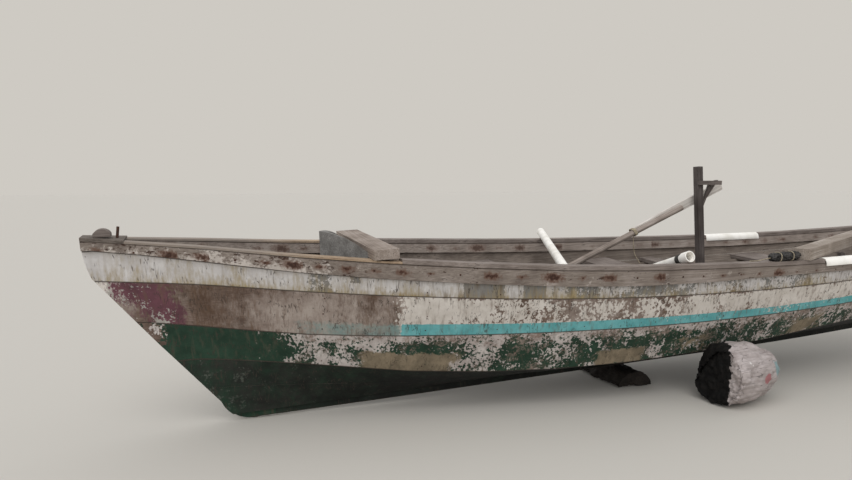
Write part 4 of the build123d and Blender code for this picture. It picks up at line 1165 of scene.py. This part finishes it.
@dataclass
class Gunwale:
    """Rub rails, inwales and capping boards, with the nails of the rub rail."""

    nail_radius: float = 0.0065
    nail_height: float = 0.0018

    def dress(self) -> None:
        """Greys the rails and caps.

        The thin fore cap has kept a tan edge abaft the bow, and the block in the bow has opened in checks.
        """
        dress(RAIL_BOARD, *paired("rub_rail"))
        tones = ("#b1a59c", "#93877e", "#6d625a")
        inner = RailTimber("inwale_softwood", tones, nail_drop=0.04, stain=0.6)
        dress(inner, *paired("inwale"))
        dress(GREY_BOARD, *paired("cap_mid", "cap_stern"))
        fore = Timber("fore_cap_softwood", ("#bba68f", "#9c866f", "#6f5d4d"), fade=(0.9, 1.35, "#877f79"))
        dress(fore, *paired("cap_fore"))
        dress(Timber("bow_block_softwood", ("#8d837c", "#6f665f", "#4a423c"), cracks=0.9), "bow_block")

    def nails(self) -> Piece:
        """Nail heads along both rub rails, one in the middle of each stain.

        Returns:
            The piece.
        """
        starts = []
        spacing = RAIL_BOARD.nail_spacing
        for side in Side:
            for number in range(1, int(BOAT_LENGTH / spacing)):
                x = nail_place(number, spacing)
                z = level(SHEER, x) - RAIL_BOARD.nail_drop
                starts.append((in_row(x, OUTBOARD * side.value, z), side))
        targets = paired("rub_rail")
        return NailRows("rail_nails", starts, targets, self.nail_radius, self.nail_height).build()


@dataclass
class NailRows:
    """Rusty nail heads, driven level into whatever lies inboard of their starts.

    Geometry Nodes cast a ray inboard from each start to the planks and set a head on what it meets.
    """

    name: str
    starts: list[tuple[Vector, Side]]
    targets: list[str]
    radius: float
    height: float

    def tree(self, inputs: dict[str, tuple[str, Any]]) -> Tree:
        """Geometry tree that projects the starts and sets the heads.

        Args:
            inputs: Kind and value of each named input.

        Returns:
            The tree.
        """
        tree = bpy.data.node_groups.new(self.name, "GeometryNodeTree")
        for label, (kind, _) in inputs.items():
            tree.interface.new_socket(label, in_out="INPUT", socket_type=f"NodeSocket{kind}")
        tree.interface.new_socket("Geometry", in_out="OUTPUT", socket_type="NodeSocketGeometry")
        given = add(tree, "NodeGroupInput").outputs
        planks = add(tree, "GeometryNodeObjectInfo", {}, {"Object": given["Planks"]})
        aim, out, lost = (
            add(tree, "GeometryNodeInputNamedAttribute", {"data_type": kind}, {"Name": label}).outputs[0]
            for label, kind in (("aim", "FLOAT_VECTOR"), ("out", "FLOAT_VECTOR"), ("missed", "BOOLEAN"))
        )
        ray = {"Target Geometry": planks.outputs["Geometry"], "Ray Direction": aim, "Ray Length": 2.0}
        hit = add(tree, "GeometryNodeRaycast", {}, ray).outputs
        missed = add(tree, "FunctionNodeBooleanMath", {"operation": "NOT"}, {0: hit["Is Hit"]})
        spots = add(tree, "GeometryNodeMeshToPoints", {}, {"Mesh": given["Geometry"]})
        vector, yes_or_no = {"data_type": "FLOAT_VECTOR"}, {"data_type": "BOOLEAN"}
        for kind, settings, values in (
            ("StoreNamedAttribute", vector, {"Name": "out", "Value": hit["Hit Normal"]}),
            ("StoreNamedAttribute", yes_or_no, {"Name": "missed", "Value": missed}),
            ("SetPosition", {}, {"Position": hit["Hit Position"]}),
            ("DeleteGeometry", {}, {"Selection": lost}),
        ):
            spots = add(tree, f"GeometryNode{kind}", settings, {"Geometry": spots, **values})
        # A flat eight-sided head, then each a little smaller or larger, as hand-driven nails are
        sizes = {"Vertices": 8, "Radius Top": 0.55, "Radius Bottom": 1.0, "Depth": 1.0}
        head = add(tree, "GeometryNodeMeshCone", {}, sizes)
        upright = add(tree, "FunctionNodeAlignRotationToVector", {"axis": "Z"}, {"Vector": out})
        limits = {2: 0.75, 3: 1.2, "Seed": given["Seed"]}
        luck = add(tree, "FunctionNodeRandomValue", {"data_type": "FLOAT"}, limits)
        wide = add(tree, MATH, TIMES, {0: luck, 1: given["Head radius"]})
        size = add(tree, "ShaderNodeCombineXYZ", {}, {"X": wide, "Y": wide, "Z": given["Head height"]})
        heads = {"Points": spots, "Instance": head.outputs["Mesh"], "Rotation": upright, "Scale": size}
        heads = add(tree, "GeometryNodeInstanceOnPoints", {}, heads)
        real = add(tree, "GeometryNodeRealizeInstances", {}, {"Geometry": heads})
        look = {"Geometry": real, "Material": given["Finish"]}
        add(tree, "NodeGroupOutput", {}, {0: add(tree, "GeometryNodeSetMaterial", {}, look)})
        return tree

    def build(self) -> Piece:
        """Makes the piece.

        Returns:
            Plain mesh of the heads.
        """
        merged = bmesh.new()
        for name in self.targets:
            merged.from_mesh(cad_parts[name].data)
        planks = shape("planks_to_nail", merged)
        guide = bpy.data.meshes.new(self.name)
        guide.from_pydata([start for start, _ in self.starts], [], [])
        aims = guide.attributes.new("aim", "FLOAT_VECTOR", "POINT")
        for slot, (_, side) in zip(aims.data, self.starts):
            slot.vector = BOAT.to_3x3() @ Vector((0.0, -side.value, 0.0))
        piece = placed(self.name, guide)
        inputs = {
            "Geometry": ("Geometry", None),
            "Planks": ("Object", planks),
            "Head radius": ("Float", self.radius),
            "Head height": ("Float", self.height),
            "Seed": ("Int", SEED),
            "Finish": ("Material", made(IRON)),
        }
        modifier = piece.modifiers.new("heads", "NODES")
        modifier.node_group = self.tree(inputs)
        for item in modifier.node_group.interface.items_tree:
            if item.in_out == "INPUT" and inputs[item.name][1] is not None:
                modifier[item.identifier] = inputs[item.name][1]
        plain(piece)
        bpy.data.objects.remove(planks)
        return settle(piece, "iron")


def placed(name: str, data: bpy.types.ID) -> Piece:
    """Adds an object to the scene.

    Args:
        name: Name of the object.
        data: Its mesh, curve, camera or light.

    Returns:
        The object, at the origin.
    """
    piece = bpy.data.objects.new(name, data)
    bpy.context.scene.collection.objects.link(piece)
    return piece


def shape(name: str, form: bmesh.types.BMesh) -> Piece:
    """Turns a bmesh into an object at the origin.

    Args:
        name: Name of the object.
        form: The bmesh, freed here.

    Returns:
        The object.
    """
    mesh = bpy.data.meshes.new(name)
    form.to_mesh(mesh)
    form.free()
    return placed(name, mesh)


def plain(piece: Piece) -> None:
    """Keeps what a piece's modifiers make as its plain mesh, and removes them.

    Args:
        piece: The object.
    """
    bpy.context.view_layer.update()
    graph = bpy.context.evaluated_depsgraph_get()
    mesh = bpy.data.meshes.new_from_object(piece.evaluated_get(graph), depsgraph=graph)
    piece.modifiers.clear()
    piece.data = mesh


def tube(name: str, rings: list[list[Vector]], round_ends: bool) -> Piece:
    """Closed smooth skin over rings of points.

    Args:
        name: Name of the piece.
        rings: The rings from one end to the other, each with as many points.
        round_ends: Whether the two end faces are shaded smooth too.

    Returns:
        The mesh object.
    """
    form = bmesh.new()
    rows = [[form.verts.new(point) for point in ring] for ring in rings]
    for low, high in zip(rows, rows[1:]):
        for count in range(len(low)):
            after = (count + 1) % len(low)
            form.faces.new((low[count], low[after], high[after], high[count]))
    form.faces.new(list(reversed(rows[0])))
    form.faces.new(rows[-1])
    for face in form.faces:
        face.smooth = round_ends or len(face.verts) == 4
    return shape(name, form)


def settle(piece: Piece, slot: str, *nodes: str) -> Piece:
    """Puts a finished piece on the boat's one body.

    Args:
        piece: The piece.
        slot: The record's material slot of its finish; not used.
        nodes: CAD nodes that it stands for.

    Returns:
        The piece.
    """
    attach(piece, BODY)
    if nodes:
        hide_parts(*nodes)
    LOG.info("%s: %d faces", piece.name, len(piece.data.polygons) if piece.type == "MESH" else 0)
    return piece


@dataclass
class Girth:
    """Room that a CAD piece takes round an axis: how far it runs along, and its box across."""

    node: str
    start: Point
    end: Point
    ahead: Vector = field(init=False)
    aside: Vector = field(init=False)
    above: Vector = field(init=False)
    middle: Vector = field(init=False)
    half: tuple[float, float] = field(init=False)
    near: float = field(init=False)
    far: float = field(init=False)

    def __post_init__(self) -> None:
        """Measures the piece along the axis and in the two directions across it."""
        zero = Vector(self.start)
        self.ahead = (Vector(self.end) - zero).normalized()
        self.aside = self.ahead.cross(Vector((0.0, 0.0, 1.0))).normalized()
        self.above = self.aside.cross(self.ahead)
        corners = [point.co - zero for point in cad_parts[self.node].data.vertices]
        self.near, self.far = self.reach(corners, self.ahead)
        low, high = self.reach(corners, self.aside)
        deep, tall = self.reach(corners, self.above)
        self.half = (high - low) / 2, (tall - deep) / 2
        self.middle = zero + self.aside * (low + high) / 2 + self.above * (deep + tall) / 2

    @staticmethod
    def reach(points: list[Vector], way: Vector) -> tuple[float, float]:
        """Extent of some points in one direction.

        Args:
            points: The points.
            way: The direction.

        Returns:
            The least and the greatest place along it.
        """
        places = [point.dot(way) for point in points]
        return min(places), max(places)

    def at(self, along: float, turn: float, inset: float, squareness: float = 2.0) -> Vector:
        """Point of a ring round the piece.

        Args:
            along: Place along the axis, from 0 at the near end to 1 at the far one.
            turn: Angle round the axis.
            inset: How far inside the piece's box the ring stays, in metres.
            squareness: 2 for an ellipse, more for a ring that fills the corners.

        Returns:
            The point, in the row frame.
        """
        power = 2.0 / squareness
        across = [
            (half - inset) * math.copysign(abs(share) ** power, share)
            for half, share in zip(self.half, (math.cos(turn), math.sin(turn)))
        ]
        length = self.near + (self.far - self.near) * along
        return self.middle + self.ahead * length + self.aside * across[0] + self.above * across[1]


def laid(name: str, path: list[Vector], radius: float) -> Piece:
    """Three-strand twine along a path, one full twist to seven radii.

    Args:
        name: Name of the piece.
        path: Points of its middle line.
        radius: Outer radius in metres.

    Returns:
        The mesh object.
    """
    lay, around, core = 7.0 * radius, 12, 0.72
    aside = (path[1] - path[0]).orthogonal()
    rings, run = [], 0.0
    for number, point in enumerate(path):
        before = path[max(number - 1, 0)]
        ahead = (path[min(number + 1, len(path) - 1)] - before).normalized()
        aside = (aside - ahead * aside.dot(ahead)).normalized()
        above = ahead.cross(aside)
        run += (point - before).length
        ring = []
        for count in range(around):
            turn = math.tau * count / around
            strand = abs(math.cos(1.5 * (turn - math.tau * run / lay)))
            way = aside * math.cos(turn) + above * math.sin(turn)
            ring.append(point + radius * (core + (1 - core) * strand) * way)
        rings.append(ring)
    return tube(name, rings, round_ends=True)


@dataclass
class Lashing:
    """Twine wound round a pole, turn by turn, where the CAD model has a plain ring.

    slack is the share of its radius by which a turn may lie deeper than the one before it.
    """

    name: str
    girth: Girth
    finish: Surface
    turns: int
    radius: float
    squareness: float = 2.0
    steps: int = 36
    slack: float = 0.4
    slack_rate: float = 2.1

    def build(self) -> Piece:
        """Makes the piece.

        Returns:
            The piece.
        """
        path = []
        last = self.turns * self.steps
        margin = self.radius / (self.girth.far - self.girth.near)
        for number in range(last + 1):
            along = margin + (1 - 2 * margin) * number / last
            turn = math.tau * number / self.steps
            loose = 0.5 * self.radius * (1 + math.sin(self.slack_rate * turn))
            path.append(self.girth.at(along, turn, self.radius + self.slack * loose, self.squareness))
        piece = laid(self.name, path, self.radius)
        piece.data.materials.append(made(self.finish))
        return settle(piece, "cord", self.girth.node)


@dataclass
class Bundle:
    """Sheet rolled into a lumpy pad on the gunwale and tied twice with twine.

    Places along it are shares of its length, and its sizes are in metres.
    """

    name: str
    girth: Girth
    rings: int = 72
    around: int = 56
    fold_depth: float = 0.013
    fold_rate: float = 1.6
    squareness: float = 2.5
    ties: tuple[float, ...] = (0.26, 0.68)
    tie_width: float = 0.035
    tie_radius: float = 0.0032
    tie_inset: float = 0.0045
    tie_slant: float = 0.012
    tie_steps: int = 48

    def skin(self, along: float, turn: float) -> Vector:
        """Point of the roll's surface, pulled in by its folds, its ties and its open ends.

        Args:
            along: Place along the roll, from 0 to 1.
            turn: Angle round it.

        Returns:
            The point, in the row frame.
        """
        across = self.fold_rate * math.cos(turn), self.fold_rate * math.sin(turn + 2.0 * along)
        fold = 1.0 - abs(noise.fractal(Vector((5.0 * along, *across)) * 1.5, 0.9, 2.0, 4)) * 2.4
        tied = sum(math.exp(-(((along - tie) / self.tie_width) ** 2)) for tie in self.ties)
        ends = abs(2 * along - 1) ** 8
        inset = self.fold_depth * (0.15 + 0.85 * max(0.0, 1.0 - fold) + 0.5 * tied + 1.3 * ends)
        return self.girth.at(along, turn, min(inset, 0.75 * min(self.girth.half)), self.squareness)

    def build(self) -> list[Piece]:
        """Makes the roll and its ties.

        Returns:
            The pieces.
        """
        rings = [
            [
                self.skin(ring / (self.rings - 1), math.tau * count / self.around)
                for count in range(self.around)
            ]
            for ring in range(self.rings)
        ]
        roll = tube(self.name, rings, round_ends=False)
        roll.data.materials.append(made(SHEET))
        pieces = [settle(roll, "pad_rubber", self.girth.node)]
        for number, tie in enumerate(self.ties, 1):
            turns = [math.tau * count / self.tie_steps for count in range(self.tie_steps + 2)]
            path = [
                self.girth.at(tie + self.tie_slant * math.sin(turn), turn, self.tie_inset, self.squareness)
                for turn in turns
            ]
            ring = laid(f"{self.name}_tie_{number}", path, self.tie_radius)
            ring.data.materials.append(made(TWINE))
            pieces.append(settle(ring, "cord"))
        return pieces


@dataclass
class BowGear:
    """What stands and lies at the bow: beam, spray boards, snubbing block and pin."""

    beam: tuple[Point, Point] = ((-1.94, -0.45, 1.09), (-1.94, 0.52, 1.13))
    board_way: Point = (0.55, 1.0, 0.06)

    def dress(self) -> None:
        """Gives each piece its finish.

        The oiled beam is browner, the plywood is bluish grey and blotched, and the block is full of checks.
        """
        dress(timber("beam_softwood_oiled", BROWNS, *self.beam), "bow_beam")
        tones = ("#9b9793", "#7b7874", "#5a5652")
        boards = Timber("spray_board_plywood", tones, self.board_way, blotch_mm=70.0)
        dress(boards, *paired("spray_board"))
        dress(Timber("snub_block_hardwood", GREYS, cracks=0.9), "snub_block")
        dress(IRON, "bow_pin")


@dataclass
class Post:
    """Post on the thwart with its arm and braces."""

    post: tuple[Point, Point] = ((0.73, 0.06, 0.3), (0.6, 0.05, 1.6))
    arm: tuple[Point, Point] = ((0.58, 0.0, 1.47), (0.77, 0.0, 1.49))
    brace: tuple[Point, Point] = ((0.65, 0.0, 1.31), (0.77, 0.0, 1.49))

    def dress(self) -> None:
        """Gives each piece its finish: weathered softwood, darkest and most cracked on the post."""
        dress(timber("post_softwood", POST_GREYS, *self.post, cracks=0.9), "post")
        dress(timber("arm_softwood", DEEP_GREYS, *self.arm), "post_arm")
        dress(timber("brace_softwood", DEEP_GREYS, *self.brace), "post_braces")


@dataclass
class Pipes:
    """Plastic pipes: two sleeves on the gunwales, the pole holder and the loose one."""

    mouth: Point = (0.0467, -0.596, 0.9936)
    tail: Point = (0.054, -0.0861, 0.8261)
    twine: float = 0.0026
    turns: int = 9

    def dress(self) -> None:
        """Gives every pipe the same finish."""
        dress(PIPE, *paired("sleeve"), "holder_pipe", "holder_coupling", "leaning_pipe")

    def lashing(self) -> Piece:
        """Winds dark twine behind the holder's coupling.

        Returns:
            The piece.
        """
        girth = Girth("holder_lashing", self.mouth, self.tail)
        return Lashing("holder_twine", girth, TARRED, self.turns, self.twine).build()


@dataclass
class LooseGear:
    """Oar with its lashed blade, the pad under it and the plank across the stern."""

    oar_start: Point = (-2.0245, 0.1228, 0.1651)
    oar_end: Point = (0.5028, 0.0792, 1.2736)
    pad_start: Point = (0.671, -0.6197, 0.9600)
    pad_end: Point = (0.918, -0.6150, 0.9700)
    plank: tuple[Point, Point] = ((0.93, -0.62, 0.98), (3.4, 0.44, 1.12))
    twine: float = 0.0031
    turns: int = 5

    def dress(self) -> None:
        """Gives each piece its finish: the shaft is handled grey, the blade bleached nearly white."""
        oar = self.oar_start, self.oar_end
        dress(timber("oar_shaft_pole", ("#b5aaa2", "#91857c", "#685d55"), *oar), "oar_shaft")
        dress(timber("oar_blade_softwood", ("#e6e1da", "#cfc8c0", "#a0968d"), *oar), "oar_blade")
        plank = timber("stern_plank_softwood", ("#b5aba1", "#94887d", "#695d52"), *self.plank)
        dress(plank, "stern_plank")

    def tied(self) -> None:
        """Winds the twine round the oar's splice and rolls up the pad."""
        splice = Girth("oar_lashing", self.oar_start, self.oar_end)
        Lashing("oar_twine", splice, TWINE, self.turns, self.twine, squareness=3.0).build()
        Bundle("gunwale_pad", Girth("oar_pad", self.pad_start, self.pad_end)).build()


@dataclass
class Cord:
    """A free end of twine along one smooth curve."""

    name: str
    node: str
    route: tuple[Point, ...]
    length: float
    lay: str
    diameter: float = 0.006

    def build(self) -> Piece:
        """Makes the cord on its route.

        Returns:
            The piece.
        """
        curve = bpy.data.curves.new(self.name, "CURVE")
        curve.dimensions = "3D"
        curve.bevel_depth = self.diameter / 2
        curve.bevel_resolution = 3
        curve.resolution_u = 16
        curve.use_fill_caps = True
        spline = curve.splines.new("NURBS")
        spline.points.add(len(self.route) - 1)
        for point, place in zip(spline.points, self.route):
            point.co = (*place, 1.0)
        spline.order_u = 3
        spline.use_endpoint_u = True
        piece = placed(self.name, curve)
        curve.materials.append(made(TWINE))
        settle(piece, "cord", self.node)
        return piece


@dataclass
class Log:
    """A log under the boat: its CAD body, roughened inward with lumps, checks and a crumbled end.

    Depths are in metres. lumps, checks (along and across), blocks and pits are patterns to the metre.
    """

    name: str
    node: str
    slot: str
    finish: Driftwood
    start: Point
    end: Point
    crumbled: float = 0.0
    corner: float = 0.10
    lump_depth: float = 0.03
    check_depth: float = 0.010
    crumble_depth: float = 0.018
    voxel: float = 0.0085
    lumps: float = 4.5
    checks: tuple[float, float] = (1.6, 11.0)
    check_width: float = 0.05
    blocks: float = 26.0
    pits: float = 16.0
    corner_wear: float = 2.4

    def depth(self, place: Vector) -> float:
        """How far a point of the bark sinks in.

        Args:
            place: The point, with x along the log from its burnt end.

        Returns:
            Depth in metres.
        """
        lump = 0.5 + 0.8 * noise.fractal(place * self.lumps, 0.8, 2.0, 4)
        along, across = self.checks
        split = abs(noise.noise(Vector((place.x * along, place.y * across, place.z * across))))
        check = max(0.0, 1.0 - split / self.check_width)
        crumb = 0.0
        if self.crumbled:
            burnt = max(0.0, 1.0 - max(0.0, place.x) / self.crumbled)
            pit = abs(noise.fractal(place * self.pits, 0.7, 2.0, 4))
            crumb = burnt * (0.3 + 0.35 * noise.cell(place * self.blocks) + pit)
            crumb += burnt * self.corner_wear * max(0.0, place.y + place.z - self.corner) / self.corner
        lump, crumb = max(0.0, min(1.0, lump)), max(0.0, min(5.0, crumb))
        return self.lump_depth * lump + self.check_depth * check + self.crumble_depth * crumb

    def build(self) -> Piece:
        """Makes the piece.

        Returns:
            The piece.
        """
        form = bmesh.new()
        form.from_mesh(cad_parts[self.node].data)
        bmesh.ops.remove_doubles(form, verts=form.verts, dist=1e-5)
        piece = shape(self.name, form)
        skin = piece.modifiers.new("skin", "REMESH")
        skin.mode = "VOXEL"
        skin.voxel_size = self.voxel
        plain(piece)
        mesh = piece.data
        ahead = Vector(self.end) - Vector(self.start)
        turn = ahead.to_track_quat("X", "Z").inverted()
        sunk = [
            point.co - point.normal * self.depth(turn @ (point.co - Vector(self.start)))
            for point in mesh.vertices
        ]
        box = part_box(self.node)
        for point, place in zip(mesh.vertices, sunk):
            point.co = [min(max(value, low), high) for value, low, high in zip(place, *box)]
        for face in mesh.polygons:
            face.use_smooth = True
        mesh.materials.clear()
        mesh.materials.append(made(self.finish))
        return settle(piece, self.slot, self.node)


# Middle lines of the two logs. The white one is bleached silver and charred black at one end; the dark
# one is nearly black, its tones painted shade for where it lies under the hull
WHITE_START: Point = (0.2406, -0.6370, 0.2057)
WHITE_END: Point = (0.7357, -0.5674, 0.2057)
DARK_START: Point = (-0.0130, -0.1350, 0.0)
DARK_END: Point = (-0.0130, 0.5050, 0.0)
LOGS = (
    Log(
        "bleached_log_body",
        "white_log",
        "bleached_log",
        Driftwood(
            "driftwood_bleached_charred",
            ("#bfb5b3", "#a89e9b", "#887d7a"),
            tuple(Vector(WHITE_END) - Vector(WHITE_START)),
            grain_mm=14.0,
            blotch_mm=90.0,
            relief_mm=3.0,
            burnt=0.622,
            burnt_way=(0.85, -0.527, 0.0),
            burnt_mm=14.0,
            dabs=(
                ((0.5315, -0.8037, 0.1955), 0.044, "#a0585c"),
                ((0.6600, -0.7374, 0.2443), 0.056, "#76979a"),
                ((0.3727, -0.8036, 0.3210), 0.010, "#dedad6"),
                ((0.3900, -0.8100, 0.3050), 0.007, "#dedad6"),
            ),
        ),
        WHITE_START,
        WHITE_END,
        crumbled=0.07,
    ),
    Log(
        "dark_log_body",
        "dark_log",
        "dark_log",
        Driftwood(
            "driftwood_dark_painted_shade",
            # Painted shade: near-black tones for the log that lies in the hull's shadow
            ("#37302b", "#241f1b", "#141110"),
            tuple(Vector(DARK_END) - Vector(DARK_START)),
            grain_mm=12.0,
            blotch_mm=60.0,
            relief_mm=3.0,
        ),
        DARK_START,
        DARK_END,
    ),
)


@dataclass
class Studio:
    """Camera at the photograph's angle, soft light and a plain pale floor.

    sky lights the boat and backdrop is what the camera sees, each a colour and a strength. A cloud is a
    name, a place, its spread in degrees and its strength.
    """

    eye: Point = (-2.9280, -4.2599, 1.5)
    heading: float = math.radians(18.0)
    pitch: float = math.radians(5.2)
    lens_mm: float = 29.15
    sensor_mm: float = 36.0
    floor_colour: str = "#c4bfb7"
    floor_roughness: float = 0.95
    floor_size: float = 60.0
    sky: tuple[str, float] = ("#eef1f4", 0.62)
    backdrop: tuple[str, float] = ("#cecac3", 1.0)
    clouds: tuple[tuple[str, Point, float, float], ...] = (
        ("bright_cloud", (-3.5, -5.0, 6.0), 70.0, 1.7),
        ("far_cloud", (4.0, 4.0, 6.0), 90.0, 0.6),
    )

    def camera(self) -> None:
        """Adds the camera."""
        data = bpy.data.cameras.new("camera")
        data.lens = self.lens_mm
        data.sensor_width = self.sensor_mm
        data.clip_end = 200.0
        eye = placed("camera", data)
        eye.location = self.eye
        eye.rotation_euler = (math.pi / 2 - self.pitch, 0.0, -self.heading)
        bpy.context.scene.camera = eye

    def light(self) -> None:
        """Adds an overcast sky: a pale world and two soft suns as bright clouds, in front and behind."""
        world = bpy.data.worlds.new("sky")
        world.use_nodes = True
        tree = world.node_tree
        tree.nodes.clear()
        rays = add(tree, "ShaderNodeLightPath")
        looked = {0: rays.outputs["Is Camera Ray"], 1: rays.outputs["Is Glossy Ray"]}
        seen = add(tree, MATH, {"operation": "MAXIMUM"}, looked)
        lit, shown = (
            add(tree, "ShaderNodeBackground", {}, {"Color": linear(tone), "Strength": strength})
            for tone, strength in (self.sky, self.backdrop)
        )
        both = add(tree, "ShaderNodeMixShader", {}, {0: seen, 1: lit, 2: shown})
        add(tree, "ShaderNodeOutputWorld", {}, {"Surface": both})
        bpy.context.scene.world = world
        for name, place, spread, power in self.clouds:
            data = bpy.data.lights.new(name, "SUN")
            data.energy = power
            data.angle = math.radians(spread)
            lamp = placed(name, data)
            lamp.location = place
            lamp.rotation_euler = Vector(place).to_track_quat("Z", "Y").to_euler()

    def floor(self) -> None:
        """Adds the plain floor."""
        form = bmesh.new()
        bmesh.ops.create_grid(form, x_segments=1, y_segments=1, size=self.floor_size)
        ground = shape("floor", form)
        tree = blank("floor_plain")
        look = {"Base Color": linear(self.floor_colour), "Roughness": self.floor_roughness}
        shader = add(tree, "ShaderNodeBsdfPrincipled", {}, look)
        add(tree, "ShaderNodeOutputMaterial", {}, {"Surface": shader})
        ground.data.materials.append(bpy.data.materials["floor_plain"])

    def build(self) -> None:
        """Sets the whole studio."""
        self.camera()
        self.light()
        self.floor()
        bpy.context.scene.view_settings.view_transform = "Standard"


CORDS = (
    Cord(
        "oar_twine_tail",
        "oar_cord",
        (
            (0.0994, 0.0976, 1.0648), (0.1055, 0.1057, 0.9702),
            (0.1304, 0.1046, 0.9061), (0.1663, 0.1005, 0.8624),
        ),
        0.22,
        "hanging",
    ),
    Cord(
        "pad_twine_end",
        "pad_cord",
        (
            (0.6708, -0.6197, 0.9626), (0.6161, -0.6154, 0.9544),
            (0.5665, -0.6091, 0.9445), (0.5063, -0.6134, 0.9477),
        ),
        0.166,
        "loose",
    ),
)


def main() -> None:
    """Builds the studio, the cords and every sub-assembly."""
    logging.basicConfig(level=logging.INFO, format="%(message)s")
    Studio().build()
    for cord in CORDS:
        cord.build()
    hull, gunwale = Hull(), Gunwale()
    pipes, gear = Pipes(), LooseGear()
    for assembly in (hull, gunwale, BowGear(), Post(), pipes, gear):
        assembly.dress()
    hull.nails()
    gunwale.nails()
    pipes.lashing()
    gear.tied()
    for log in LOGS:
        log.build()


if __name__ == "__main__":
    main()
